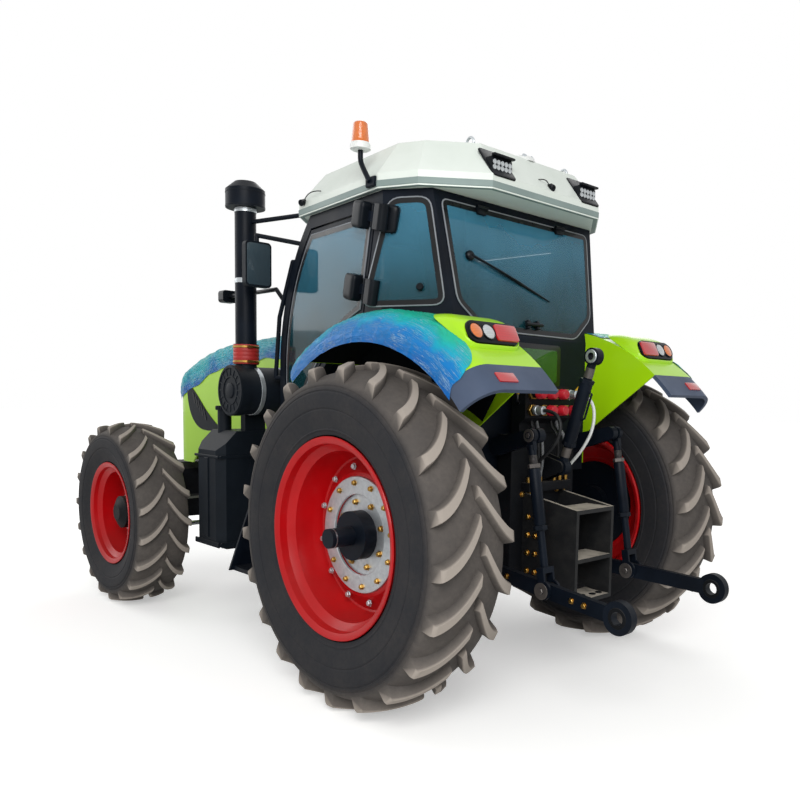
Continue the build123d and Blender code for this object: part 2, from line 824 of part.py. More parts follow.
# Cab: one outer form, from which walls, doors and panes are all taken
def cab_form(inset):
    """Solid form of the cab, drawn in by inset; drawn-in forms run out through the sill."""
    low = SILL_Z if inset == 0 else SILL_Z - CAB_WALL
    with BuildPart() as form:
        with BuildSketch(side()):
            with BuildLine():
                Polyline(
                    (SCREEN_TOP_STATION, CAB_TOP),
                    (CAB_REAR_TOP, CAB_TOP),
                    (CAB_REAR, REAR_SILL),
                    (CAB_REAR, low),
                    (CAB_FRONT, low),
                    (CAB_FRONT, PILLAR_STRAIGHT),
                )
                TangentArc(
                    (CAB_FRONT, PILLAR_STRAIGHT), (SCREEN_TOP_STATION, CAB_TOP), tangent=(0, 1)
                )
            make_face()
            if inset > 0:
                offset(amount=-inset, kind=Kind.INTERSECTION, mode=Mode.REPLACE)
        extrude(amount=2 * CAB_HALF, both=True)
        with BuildSketch(plan()):
            with BuildLine():
                Polyline(*cab_outline(), close=True)
            make_face()
            if inset > 0:
                offset(amount=-inset, kind=Kind.INTERSECTION, mode=Mode.REPLACE)
        extrude(amount=2 * CAB_TOP, mode=Mode.INTERSECT)
    return form.part


SIDE_SLOPE = (CAB_HALF - CAB_FRONT_HALF) / (CAB_FRONT - B_STATION)
QUARTER_SLOPE = (CAB_HALF - CAB_REAR_HALF) / (B_STATION - CAB_REAR)
CAB_MARGIN = 150.0


def cab_side_y(station):
    """Half width of the cab's outer face at a station."""
    if station > B_STATION:
        return CAB_HALF - SIDE_SLOPE * (station - B_STATION)
    return CAB_HALF - QUARTER_SLOPE * (B_STATION - station)


def cab_outline():
    """Plan of the cab past its front and rear walls, from the left front round to the right."""
    stations = (CAB_FRONT + CAB_MARGIN, B_STATION, CAB_REAR - CAB_MARGIN)
    left = [(s, cab_side_y(s)) for s in stations]
    return left + [(s, -y) for s, y in reversed(left)]


def b_station(z):
    """Station of the leaning B pillar's middle at a height."""
    return B_TOP_STATION + B_LEAN * (B_LEAN_FROM - z)


def screen_station(z):
    """Station of the curved front edge of the cab at a height."""
    if z <= PILLAR_STRAIGHT:
        return CAB_FRONT
    run = CAB_FRONT - SCREEN_TOP_STATION
    rise = CAB_TOP - PILLAR_STRAIGHT
    arc_r = (run**2 + rise**2) / (2 * run)
    return CAB_FRONT - arc_r + sqrt(arc_r**2 - (z - PILLAR_STRAIGHT) ** 2)


DOOR_FRONT_LOW = CAB_FRONT - PILLAR
DOOR_ARC_R = FENDER_R + 38.0
DOOR_HEAD_FRONT = screen_station(HEADER_Z) - PILLAR * 1.25


def door_view(shrink):
    """The door's side view, drawn in by shrink, as a sketch."""
    rear_low_z = REAR_RADIUS + sqrt(DOOR_ARC_R**2 - b_station(REAR_SILL) ** 2)
    rear_low = b_station(rear_low_z) + B_HALF
    rear_low_z = REAR_RADIUS + sqrt(DOOR_ARC_R**2 - rear_low**2)
    arc_end_z = DOOR_LOW
    arc_end = sqrt(DOOR_ARC_R**2 - (arc_end_z - REAR_RADIUS) ** 2)
    middle = radians(
        (degrees(atan2(rear_low_z - REAR_RADIUS, rear_low))
         + degrees(atan2(arc_end_z - REAR_RADIUS, arc_end))) / 2
    )
    with BuildSketch() as view:
        with BuildLine():
            Polyline(
                (DOOR_FRONT_LOW, PILLAR_STRAIGHT),
                (DOOR_FRONT_LOW, DOOR_LOW),
                (arc_end, arc_end_z),
            )
            ThreePointArc(
                (arc_end, arc_end_z),
                (DOOR_ARC_R * cos(middle), REAR_RADIUS + DOOR_ARC_R * sin(middle)),
                (rear_low, rear_low_z),
            )
            Polyline(
                (rear_low, rear_low_z),
                (b_station(HEADER_Z) + B_HALF, HEADER_Z),
                (DOOR_HEAD_FRONT, HEADER_Z),
            )
            TangentArc(
                (DOOR_FRONT_LOW, PILLAR_STRAIGHT), (DOOR_HEAD_FRONT, HEADER_Z), tangent=(0, 1)
            )
        make_face()
        if shrink > 0:
            offset(amount=-shrink, kind=Kind.INTERSECTION, mode=Mode.REPLACE)
    return view.sketch


QUARTER_LOW = 2070.0
QUARTER_REAR = -120.0
QUARTER_TOP_REAR = -40.0


def quarter_view(shrink):
    """The quarter window's side view as a sketch."""
    with BuildSketch() as view:
        with BuildLine():
            Polyline(
                (b_station(QUARTER_LOW) - B_HALF - 20, QUARTER_LOW),
                (b_station(HEADER_Z) - B_HALF - 20, HEADER_Z),
                (QUARTER_TOP_REAR, HEADER_Z),
                (QUARTER_REAR, QUARTER_LOW + 40),
                close=True,
            )
        make_face()
        if shrink > 0:
            offset(amount=-shrink, kind=Kind.INTERSECTION, mode=Mode.REPLACE)
    return view.sketch


SCREEN_LOW = 1790.0
SCREEN_HALF = 575.0
REAR_PANE_LOW = 1965.0
REAR_PANE_LOW_HALF = 330.0
REAR_PANE_HALF = 505.0
REAR_PANE_CORNER = 2080.0
REAR_PANE_TOP_HALF = 440.0


def screen_view(shrink):
    """The windscreen's front view as a sketch."""
    with BuildSketch() as view:
        with BuildLine():
            Polyline(
                (-SCREEN_HALF, SCREEN_LOW),
                (SCREEN_HALF, SCREEN_LOW),
                (SCREEN_HALF, HEADER_Z),
                (-SCREEN_HALF, HEADER_Z),
                close=True,
            )
        make_face()
        if shrink > 0:
            offset(amount=-shrink, kind=Kind.INTERSECTION, mode=Mode.REPLACE)
    return view.sketch


def rear_view(shrink):
    """The rear window's view from behind, with its cut lower corners."""
    with BuildSketch() as view:
        with BuildLine():
            Polyline(
                (-REAR_PANE_LOW_HALF, REAR_PANE_LOW),
                (REAR_PANE_LOW_HALF, REAR_PANE_LOW),
                (REAR_PANE_HALF, REAR_PANE_CORNER),
                (REAR_PANE_TOP_HALF, HEADER_Z),
                (-REAR_PANE_TOP_HALF, HEADER_Z),
                (-REAR_PANE_HALF, REAR_PANE_CORNER),
                close=True,
            )
        make_face()
        if shrink > 0:
            offset(amount=-shrink, kind=Kind.INTERSECTION, mode=Mode.REPLACE)
    return view.sketch


CAB_MIDDLE = (CAB_FRONT + CAB_REAR) / 2
TUB_HALF = FENDER_IN - FIT_GAP
FENDER_CLEAR_R = FENDER_R + FIT_GAP


with BuildPart() as cab_frame:
    add(cab_form(0))
    add(cab_form(CAB_WALL), mode=Mode.SUBTRACT)
    with BuildSketch(side()):
        add(door_view(0))
    extrude(amount=2 * CAB_HALF, both=True, mode=Mode.SUBTRACT)
    with BuildSketch(side()):
        add(quarter_view(0))
    extrude(amount=2 * CAB_HALF, both=True, mode=Mode.SUBTRACT)
    with BuildSketch(front(CAB_MIDDLE)):
        add(screen_view(0))
    extrude(amount=CAB_FRONT, mode=Mode.SUBTRACT)
    with BuildSketch(front(CAB_MIDDLE)):
        add(rear_view(0))
    extrude(amount=-CAB_FRONT, mode=Mode.SUBTRACT)
    for y in (TUB_HALF, -TUB_HALF - CAB_HALF):
        with BuildSketch(side(y + CAB_HALF)):
            with Locations((0, REAR_RADIUS)):
                Circle(FENDER_CLEAR_R)
        extrude(amount=CAB_HALF, mode=Mode.SUBTRACT)
save(cab_frame.part, "cab_frame")

with BuildPart() as pane_shell:
    add(cab_form(GLASS_INSET))
    add(cab_form(GLASS_INSET + GLASS_THICK), mode=Mode.SUBTRACT)

with BuildPart() as pane_space:
    with BuildSketch(side()):
        add(quarter_view(FIT_GAP))
    extrude(amount=2 * CAB_HALF, both=True)
    with BuildSketch(front(CAB_MIDDLE)):
        add(screen_view(FIT_GAP))
    extrude(amount=CAB_FRONT)
    with BuildSketch(front(CAB_MIDDLE)):
        add(rear_view(FIT_GAP))
    extrude(amount=-CAB_FRONT)

with BuildPart() as cab_glass:
    add(pane_shell.part)
    add(pane_space.part, mode=Mode.INTERSECT)
save(cab_glass.part, "cab_glass")

# Doors, hinged on pins that lean with the B pillar
HINGE_DIR = Vector(-B_LEAN, SIDE_SLOPE * B_LEAN, 1).normalized()
HINGE_NEAR = HINGE_OUT / sqrt(1 + SIDE_SLOPE**2) - FIT_GAP
HINGE_ARM = B_HALF / 2 + DOOR_GAP + 3 * HINGE_BARREL_R
DOOR_BITE = 8.0


def hinge_point(z):
    """Point of the left door's hinge line at a height."""
    station = b_station(z) + B_HALF / 2
    return place(station, cab_side_y(station) + HINGE_OUT, z)


def hinge_plane(z, along=0.0):
    """Plane square to the hinge line, local x forward along the door."""
    origin = hinge_point(z) + HINGE_DIR * along
    return Plane(origin=origin, x_dir=(1, -SIDE_SLOPE, B_LEAN), z_dir=HINGE_DIR)


def cover_lobe(z, hand):
    """Rounded cover over one leaf of a hinge: hand is 1 on the door and -1 on the pillar."""
    low = COVER_LIFT - HINGE_NEAR
    with BuildPart() as lobe:
        with BuildSketch(hinge_plane(z, -COVER_HALF)):
            with Locations((hand * (COVER_NEAR + COVER_LENGTH / 2), (COVER_OUT + low) / 2)):
                RectangleRounded(COVER_LENGTH, COVER_OUT - low, COVER_ROUND)
        extrude(amount=2 * COVER_HALF)
    return lobe.part


with BuildPart() as door_left:
    add(cab_form(0))
    add(cab_form(DOOR_WALL), mode=Mode.SUBTRACT)
    with BuildSketch(side(2 * CAB_HALF)):
        add(door_view(DOOR_GAP))
        with BuildLine():
            corner = b_station(HEADER_Z) + B_HALF
            Polyline(
                (corner - DOOR_CORNER[0], HEADER_Z),
                (corner + DOOR_CORNER[0], HEADER_Z),
                (corner + DOOR_CORNER[0], HEADER_Z - DOOR_GAP),
                (corner + DOOR_GAP, HEADER_Z - DOOR_GAP - DOOR_CORNER[1]),
                (corner - DOOR_CORNER[0], HEADER_Z - DOOR_GAP - DOOR_CORNER[1]),
                close=True,
            )
        make_face(mode=Mode.SUBTRACT)
    extrude(amount=2 * CAB_HALF, mode=Mode.INTERSECT)
    with BuildSketch(side(2 * CAB_HALF)):
        add(door_view(DOOR_GAP + DOOR_RIM))
    extrude(amount=2 * CAB_HALF, mode=Mode.SUBTRACT)
    for z in (HINGE_LOW, HINGE_HIGH):
        with BuildSketch(hinge_plane(z, -HINGE_LENGTH / 2)):
            Circle(HINGE_BARREL_R)
            with Locations((HINGE_ARM / 2, 0)):
                Rectangle(HINGE_ARM, HINGE_BARREL_R)
            with Locations((HINGE_ARM - HINGE_BARREL_R, -HINGE_NEAR / 2 - DOOR_BITE / 2)):
                Rectangle(2 * HINGE_BARREL_R, HINGE_NEAR + DOOR_BITE)
        extrude(amount=HINGE_LENGTH)
        with BuildSketch(hinge_plane(z, -HINGE_LENGTH)):
            Circle(HINGE_PIN_R + FIT_GAP)
        extrude(amount=2 * HINGE_LENGTH, mode=Mode.SUBTRACT)
        add(cover_lobe(z, 1))
save(door_left.part, "door_left_frame")
with BuildPart() as door_right:
    mirror(door_left.part, about=Plane.XZ)
save(door_right.part, "door_right_frame")

with BuildPart() as door_glass_left:
    add(pane_shell.part)
    with BuildSketch(side(2 * CAB_HALF)):
        add(door_view(DOOR_GAP + DOOR_RIM + FIT_GAP))
    extrude(amount=2 * CAB_HALF, mode=Mode.INTERSECT)
save(door_glass_left.part, "door_left_glass")
with BuildPart() as door_glass_right:
    mirror(door_glass_left.part, about=Plane.XZ)
save(door_glass_right.part, "door_right_glass")

KNUCKLE_SHARE = 30.0
with BuildPart() as door_hinges:
    for z in (HINGE_LOW, HINGE_HIGH):
        with BuildSketch(hinge_plane(z, -HINGE_LENGTH / 2 - KNUCKLE_SHARE)):
            Circle(HINGE_PIN_R)
        extrude(amount=HINGE_LENGTH + 2 * KNUCKLE_SHARE)
        for along in (-HINGE_LENGTH / 2 - FIT_GAP - KNUCKLE_SHARE, HINGE_LENGTH / 2 + FIT_GAP):
            with BuildSketch(hinge_plane(z, along)):
                Circle(HINGE_BARREL_R)
                with Locations((-COVER_NEAR * 0.6, -HINGE_NEAR / 2)):
                    Rectangle(COVER_NEAR * 1.2, HINGE_NEAR)
            extrude(amount=KNUCKLE_SHARE)
        add(cover_lobe(z, -1))
    mirror(about=Plane.XZ)
save(door_hinges.part, "door_hinges")

with BuildPart() as cab_floor:
    with BuildSketch(plan(SILL_Z - FLOOR_PLATE)):
        with BuildLine():
            Polyline(
                (CAB_REAR, -TUB_HALF),
                (FENDER_R, -TUB_HALF),
                (FENDER_R, -cab_side_y(FENDER_R)),
                (CAB_FRONT, -cab_side_y(CAB_FRONT)),
                (CAB_FRONT, cab_side_y(CAB_FRONT)),
                (FENDER_R, cab_side_y(FENDER_R)),
                (FENDER_R, TUB_HALF),
                (CAB_REAR, TUB_HALF),
                close=True,
            )
        make_face()
    extrude(amount=FLOOR_PLATE)
    with BuildSketch(plan(GEARBOX_TOP)):
        with Locations((CAB_FRONT - 200, 0), (AXLE_CASE_FRONT + 200, 0)):
            with GridLocations(0, 2 * GEARBOX_HALF - 100, 1, 2):
                Rectangle(120, 90)
    extrude(amount=SILL_Z - FLOOR_PLATE - GEARBOX_TOP)
save(cab_floor.part, "cab_floor")

# Roof: a skirt and a sloping crown, with pockets for the work lamps
ROOF_SHOULDER = 735.0
ROOF_FRONT_HALF = 600.0
ROOF_SHOULDER_STATION = 1000.0
ROOF_HIP_STATION = -110.0
ROOF_HIP = 745.0
LAMP_POCKET = (150.0, 130.0, 84.0)
WORK_LAMP_Z = 2790.0
WORK_LAMP_REAR = (-262.0, 364.0)
WORK_LAMP_FRONT = (1040.0, 470.0)


def roof_view():
    """Plan of the roof as a sketch, widest at the B pillars."""
    left = [
        (ROOF_FRONT, ROOF_FRONT_HALF),
        (ROOF_SHOULDER_STATION, ROOF_SHOULDER),
        (B_STATION, ROOF_HALF),
        (ROOF_HIP_STATION, ROOF_HIP),
        (ROOF_REAR, ROOF_REAR_HALF),
    ]
    with BuildSketch() as view:
        with BuildLine():
            Polyline(*left, *[(x, -y) for x, y in reversed(left)], close=True)
        make_face()
    return view.sketch


def lamp_places():
    """Middles of the four work lamps' pockets."""
    return [
        place(station, sign * y, WORK_LAMP_Z)
        for station, y in (WORK_LAMP_REAR, WORK_LAMP_FRONT)
        for sign in (1, -1)
    ]


with BuildPart() as roof:
    with BuildSketch(plan(ROOF_LOW)):
        add(roof_view())
    extrude(amount=ROOF_SKIRT)
    with BuildSketch(plan(ROOF_LOW + ROOF_SKIRT)):
        add(roof_view())
    extrude(amount=ROOF_CROWN, taper=ROOF_TAPER)
    with Locations(*lamp_places()):
        Box(*LAMP_POCKET, mode=Mode.SUBTRACT)
save(roof.part, "roof")

with BuildPart() as work_lamps:
    with Locations(*lamp_places()):
        Box(LAMP_POCKET[0] * 0.55, *[size - 2 * FIT_GAP for size in LAMP_POCKET[1:]])
save(work_lamps.part, "work_lamps")

DOME_STATION = -130.0
DOME_R = 82.0
DOME_HEIGHT = 34.0
EYE_PLACE = (-120.0, 393.0)
EYE_R = 34.0
BEACON_STATION = 230.0
BEACON_FOOT_STATION = 150.0
BEACON_Y = 852.0
BEACON_BASE = 2862.0
BEACON_R = 54.0
BEACON_TOP = 3010.0
with BuildPart() as roof_fittings:
    with BuildSketch(plan(ROOF_TOP)):
        with Locations((DOME_STATION, 0)):
            Circle(DOME_R)
    extrude(amount=DOME_HEIGHT, taper=25)
    for sign in (1, -1):
        with BuildSketch(side(sign * EYE_PLACE[1] + 7)):
            with Locations((EYE_PLACE[0], ROOF_TOP + EYE_R * 0.6)):
                Circle(EYE_R)
                Circle(EYE_R * 0.55, mode=Mode.SUBTRACT)
        extrude(amount=14)
    foot = place(BEACON_FOOT_STATION, BEACON_Y, ROOF_LOW + ROOF_SKIRT / 2)
    bend = place(BEACON_STATION, BEACON_Y, BEACON_BASE - 60)
    add(round_bar(foot, bend, RAIL_R))
    add(round_bar(bend, place(BEACON_STATION, BEACON_Y, BEACON_BASE), RAIL_R))
    with Locations(foot - Vector(0, RAIL_R, 0)):
        Box(70, 2 * RAIL_R, ROOF_SKIRT * 0.7)
    with BuildSketch(plan(BEACON_BASE)):
        with Locations((BEACON_STATION, BEACON_Y)):
            Circle(BEACON_R)
    extrude(amount=36)
    with BuildSketch(plan(BEACON_BASE + 36)):
        with Locations((BEACON_STATION, BEACON_Y)):
            Circle(BEACON_R * 0.9)
    extrude(amount=BEACON_TOP - BEACON_BASE - 36, taper=6)
    add(roof.part, mode=Mode.SUBTRACT)
save(roof_fittings.part, "roof_fittings")


# Fenders: a rounded section carried round the rear wheel, with an inner wall
def fender_plane(angle):
    """Plane through the rear axle, tipped forward by angle: local y is the radius."""
    tip = radians(angle)
    return Plane(
        origin=place(0, 0, REAR_RADIUS), x_dir=(0, 1, 0), z_dir=(cos(tip), 0, -sin(tip))
    )


FENDER_SWING = Axis(place(0, 0, REAR_RADIUS), (0, -1, 0))


def wheel_point(radius, angle):
    """Station and height of a point round the rear axle, angle forward of upright."""
    tip = radians(angle)
    return (radius * sin(tip), REAR_RADIUS + radius * cos(tip))


with BuildPart() as fender_left:
    with BuildSketch(fender_plane(FENDER_FRONT_ANGLE)):
        with BuildLine():
            Line((FENDER_IN, FENDER_R), (FENDER_FLAT, FENDER_R))
            TangentArc((FENDER_FLAT, FENDER_R), (FENDER_OUT, FENDER_EDGE_R), tangent=(1, 0))
            offset(amount=FENDER_SHEET, side=Side.RIGHT)
        make_face()
    revolve(axis=FENDER_SWING, revolution_arc=FENDER_FRONT_ANGLE + FENDER_REAR_ANGLE)
    with BuildSketch(side(FENDER_IN + FENDER_SHEET)):
        inside_r = FENDER_R - FENDER_SHEET / 2
        with BuildLine():
            Polyline(
                wheel_point(inside_r, -FENDER_REAR_ANGLE),
                (CAB_REAR, FENDER_WALL_LOW),
                (CAB_REAR, SILL_Z),
                (wheel_point(inside_r, FENDER_FRONT_ANGLE)[0], SILL_Z),
                wheel_point(inside_r, FENDER_FRONT_ANGLE),
            )
            ThreePointArc(
                wheel_point(inside_r, FENDER_FRONT_ANGLE),
                wheel_point(inside_r, 0),
                wheel_point(inside_r, -FENDER_REAR_ANGLE),
            )
        make_face()
    extrude(amount=FENDER_SHEET)
save(fender_left.part, "fender_left")
with BuildPart() as fender_right:
    mirror(fender_left.part, about=Plane.XZ)
save(fender_right.part, "fender_right")

with BuildPart() as fender_trim:
    with BuildSketch(fender_plane(-FENDER_REAR_ANGLE)):
        with BuildLine():
            Line((FENDER_IN, FENDER_R), (FENDER_FLAT, FENDER_R))
            TangentArc((FENDER_FLAT, FENDER_R), (FENDER_OUT, FENDER_EDGE_R), tangent=(1, 0))
            offset(amount=SKIRT_SHEET, side=Side.RIGHT)
        make_face()
    revolve(axis=FENDER_SWING, revolution_arc=SKIRT_ANGLE)
    mirror(about=Plane.XZ)
save(fender_trim.part, "fender_trim")

with BuildPart() as tail_lamps:
    with BuildSketch(fender_plane(-LAMP_ANGLE)):
        with Locations(((LAMP_IN + LAMP_OUT) / 2, FENDER_R + FIT_GAP + LAMP_DEPTH / 2)):
            Rectangle(LAMP_OUT - LAMP_IN, LAMP_DEPTH)
    revolve(axis=FENDER_SWING, revolution_arc=degrees(LAMP_HEIGHT / FENDER_R))
    mirror(about=Plane.XZ)
save(tail_lamps.part, "tail_lamps")


# Bonnet: one form, from which the shell, the grille and the headlamps are taken
TOP_STRAIGHT = WHEELBASE - 320.0
NOSE_FLAT_HALF = 130.0
NOSE_TURN = WHEELBASE + 610.0
LIP_REAR = WHEELBASE + 480.0
LIP_RISE = WHEELBASE + 260.0
BONNET_OPEN = 200.0


def bonnet_form(inset):
    """Solid form of the bonnet; drawn-in forms run out behind and below."""
    mid_drop = (BONNET_REAR_TOP - BONNET_MID_TOP) * (TOP_STRAIGHT - BONNET_REAR)
    straight_top = BONNET_REAR_TOP - mid_drop / (BONNET_MID - BONNET_REAR)
    rear = BONNET_REAR if inset == 0 else BONNET_REAR - BONNET_OPEN
    if inset == 0:
        under = [(LIP_REAR, BONNET_LOW), (LIP_RISE, BONNET_SIDE_LOW), (rear, BONNET_SIDE_LOW)]
    else:
        under = [(NOSE_LOW_STATION, BONNET_LOW - BONNET_OPEN), (rear, BONNET_LOW - BONNET_OPEN)]
    with BuildPart() as form:
        with BuildSketch(side()):
            with BuildLine():
                Line((rear, BONNET_REAR_TOP), (TOP_STRAIGHT, straight_top))
                crown = TangentArc(
                    (TOP_STRAIGHT, straight_top),
                    (NOSE_TOP_STATION, NOSE_TOP),
                    tangent=(TOP_STRAIGHT - rear, straight_top - BONNET_REAR_TOP),
                )
                TangentArc(crown @ 1, (NOSE_TIP, NOSE_TIP_Z), tangent=crown % 1)
                Polyline(
                    (NOSE_TIP, NOSE_TIP_Z),
                    (NOSE_LOW_STATION, BONNET_LOW),
                    *under,
                    (rear, BONNET_REAR_TOP),
                )
            make_face()
            if inset > 0:
                offset(amount=-inset, kind=Kind.INTERSECTION, mode=Mode.REPLACE)
        extrude(amount=2 * BONNET_HALF, both=True)
        with BuildSketch(plan()):
            with BuildLine():
                flank = Line((rear, BONNET_HALF), (NOSE_TURN, NOSE_HALF))
                turn = TangentArc(flank @ 1, (NOSE_TIP, NOSE_FLAT_HALF), tangent=flank % 1)
                Line(turn @ 1, (NOSE_TIP, -NOSE_FLAT_HALF))
                mirror(flank, about=Plane.XZ)
                mirror(turn, about=Plane.XZ)
                Line((rear, BONNET_HALF), (rear, -BONNET_HALF))
            make_face()
            if inset > 0:
                offset(amount=-inset, kind=Kind.INTERSECTION, mode=Mode.REPLACE)
        extrude(amount=2 * BONNET_REAR_TOP, mode=Mode.INTERSECT)
        shoulders = form.edges().filter_by(
            lambda edge: edge.center().Z > NOSE_TIP_Z
            and abs(edge.center().Y) > NOSE_FLAT_HALF
            and abs((edge % 0.5).Z) < 0.8
            and abs((edge % 0.5).Y) < 0.9
        )
        fillet(shoulders, radius=SHOULDER_R - inset)
    return form.part


GRILLE_HALF = 205.0
GRILLE_LOW = 1040.0
GRILLE_TOP = 1440.0
GRILLE_BARS = 9
GRILLE_SINK = 5.0
GRILLE_DEPTH = 30.0
HEADLAMP_IN = 60.0
HEADLAMP_OUT = 280.0
HEADLAMP_LOW = 1475.0
HEADLAMP_HIGH = 1570.0
NOSE_CUT = WHEELBASE + 530.0


def grille_view(shrink):
    """Front view of the grille opening as a sketch."""
    with BuildSketch() as view:
        with Locations((0, (GRILLE_LOW + GRILLE_TOP) / 2)):
            Rectangle(2 * (GRILLE_HALF - shrink), GRILLE_TOP - GRILLE_LOW - 2 * shrink)
    return view.sketch


def headlamp_view(shrink):
    """Front view of the two headlamp openings as a sketch."""
    width = HEADLAMP_OUT - HEADLAMP_IN - 2 * shrink
    middle = (HEADLAMP_IN + HEADLAMP_OUT) / 2
    with BuildSketch() as view:
        with Locations(*[(y, (HEADLAMP_LOW + HEADLAMP_HIGH) / 2) for y in (middle, -middle)]):
            Rectangle(width, HEADLAMP_HIGH - HEADLAMP_LOW - 2 * shrink)
    return view.sketch


LUG_PLATE = 18.0
LUG_Y = POST_Y + 6.0
with BuildPart() as bonnet:
    add(bonnet_form(0))
    add(bonnet_form(BONNET_SHEET), mode=Mode.SUBTRACT)
    with BuildSketch(front(NOSE_CUT)):
        add(grille_view(0))
        add(headlamp_view(0))
    extrude(amount=NOSE_TIP - NOSE_CUT + BONNET_OPEN, mode=Mode.SUBTRACT)
    for y in (LUG_Y + LUG_PLATE, -LUG_Y):
        with BuildSketch(side(y)):
            with Locations((BONNET_PIN_STATION, BONNET_PIN_Z)):
                Circle(2.2 * BONNET_PIN_R)
            with Locations((BONNET_PIN_STATION, (BONNET_PIN_Z + BONNET_REAR_TOP - 10) / 2)):
                Rectangle(4.4 * BONNET_PIN_R, BONNET_REAR_TOP - 10 - BONNET_PIN_Z)
            with Locations((BONNET_PIN_STATION, BONNET_PIN_Z)):
                Circle(BONNET_PIN_R + FIT_GAP, mode=Mode.SUBTRACT)
        extrude(amount=LUG_PLATE)
save(bonnet.part, "bonnet")

with BuildPart() as grille:
    add(bonnet_form(GRILLE_SINK))
    add(bonnet_form(GRILLE_SINK + GRILLE_DEPTH), mode=Mode.SUBTRACT)
    with BuildSketch(front(NOSE_CUT)):
        add(grille_view(FIT_GAP))
    extrude(amount=NOSE_TIP - NOSE_CUT + BONNET_OPEN, mode=Mode.INTERSECT)
    bar_pitch = (GRILLE_TOP - GRILLE_LOW) / GRILLE_BARS
    with BuildSketch(front(NOSE_CUT)):
        with Locations((0, (GRILLE_LOW + GRILLE_TOP) / 2)):
            with GridLocations(0, bar_pitch, 1, GRILLE_BARS):
                Rectangle(2 * GRILLE_HALF - bar_pitch, bar_pitch / 2)
    extrude(amount=NOSE_TIP - NOSE_CUT + BONNET_OPEN, mode=Mode.SUBTRACT)
save(grille.part, "grille")

with BuildPart() as headlamps:
    add(bonnet_form(GRILLE_SINK))
    add(bonnet_form(GRILLE_SINK + GRILLE_DEPTH), mode=Mode.SUBTRACT)
    with BuildSketch(front(NOSE_CUT)):
        add(headlamp_view(FIT_GAP))
    extrude(amount=NOSE_TIP - NOSE_CUT + BONNET_OPEN, mode=Mode.INTERSECT)
save(headlamps.part, "headlamps")

# Fuel tank on the left, battery box on the right, air cleaner and stacks
CARRIER = 60.0
CARRIER_Z = 1000.0
TANK_CHAMFER = 50.0


def side_box(rear, ahead, low, shoulder, top, out):
    """Moulded box beside the engine with cut corners, on two arms from the engine."""
    with BuildPart() as box:
        with BuildSketch(front(rear)):
            with BuildLine():
                Polyline(
                    (TANK_IN, low),
                    (out - TANK_CHAMFER, low),
                    (out, low + TANK_CHAMFER),
                    (out, shoulder),
                    (out - (top - shoulder), top),
                    (TANK_IN, top),
                    close=True,
                )
            make_face()
        extrude(amount=ahead - rear)
        corners = box.edges().filter_by(Axis.Z).filter_by(
            lambda edge: edge.center().Y > out - 1
        )
        chamfer(corners, TANK_CHAMFER)
        with BuildSketch(side(TANK_IN + 5)):
            with Locations(*[(x, CARRIER_Z) for x in (rear + 2 * CARRIER, ahead - 2 * CARRIER)]):
                Rectangle(CARRIER, CARRIER)
        extrude(amount=TANK_IN + 5 - ENGINE_HALF - FIT_GAP)
    return box.part


with BuildPart() as fuel_tank:
    add(side_box(TANK_REAR, TANK_FRONT, TANK_LOW, TANK_SHOULDER, TANK_TOP, TANK_OUT))
    filler_low = place(TANK_FRONT - 125, TANK_OUT - 155, TANK_TOP - 30)
    add(round_bar(filler_low, filler_low + Vector(0, 0, FILLER_LENGTH), FILLER_R))
    add(
        round_bar(
            filler_low + Vector(0, 0, FILLER_LENGTH),
            filler_low + Vector(0, 0, FILLER_LENGTH + 30),
            FILLER_R * 1.2,
        )
    )
save(fuel_tank.part, "fuel_tank")

with BuildPart() as box_left:
    add(side_box(BOX_REAR + 30, TANK_FRONT, TANK_LOW, BOX_TOP - 40, BOX_TOP, TANK_OUT))
with BuildPart() as battery_box:
    mirror(box_left.part, about=Plane.XZ)
save(battery_box.part, "battery_box")

CLEANER_CAP = 60.0
NECK_TOP = CLEANER_Z + CLEANER_R + 14.0
with BuildPart() as air_cleaner:
    with BuildSketch(side(CLEANER_IN)):
        with Locations((CLEANER_STATION, CLEANER_Z)):
            Circle(CLEANER_R)
    extrude(amount=CLEANER_IN - CLEANER_OUT + CLEANER_CAP)
    with BuildSketch(side(CLEANER_OUT - CLEANER_CAP)):
        with Locations((CLEANER_STATION, CLEANER_Z)):
            Circle(CLEANER_R + 8)
    extrude(amount=-CLEANER_CAP)
    with BuildSketch(plan(CLEANER_Z)):
        with Locations((CLEANER_STATION, STACK_Y)):
            Circle(STACK_R)
    extrude(amount=NECK_TOP - CLEANER_Z)
    with BuildSketch(plan(TANK_TOP)):
        with Locations((TANK_REAR + 40, (CLEANER_IN + CLEANER_OUT) / 2)):
            Rectangle(60, 150)
    extrude(amount=CLEANER_Z - TANK_TOP)
save(air_cleaner.part, "air_cleaner")

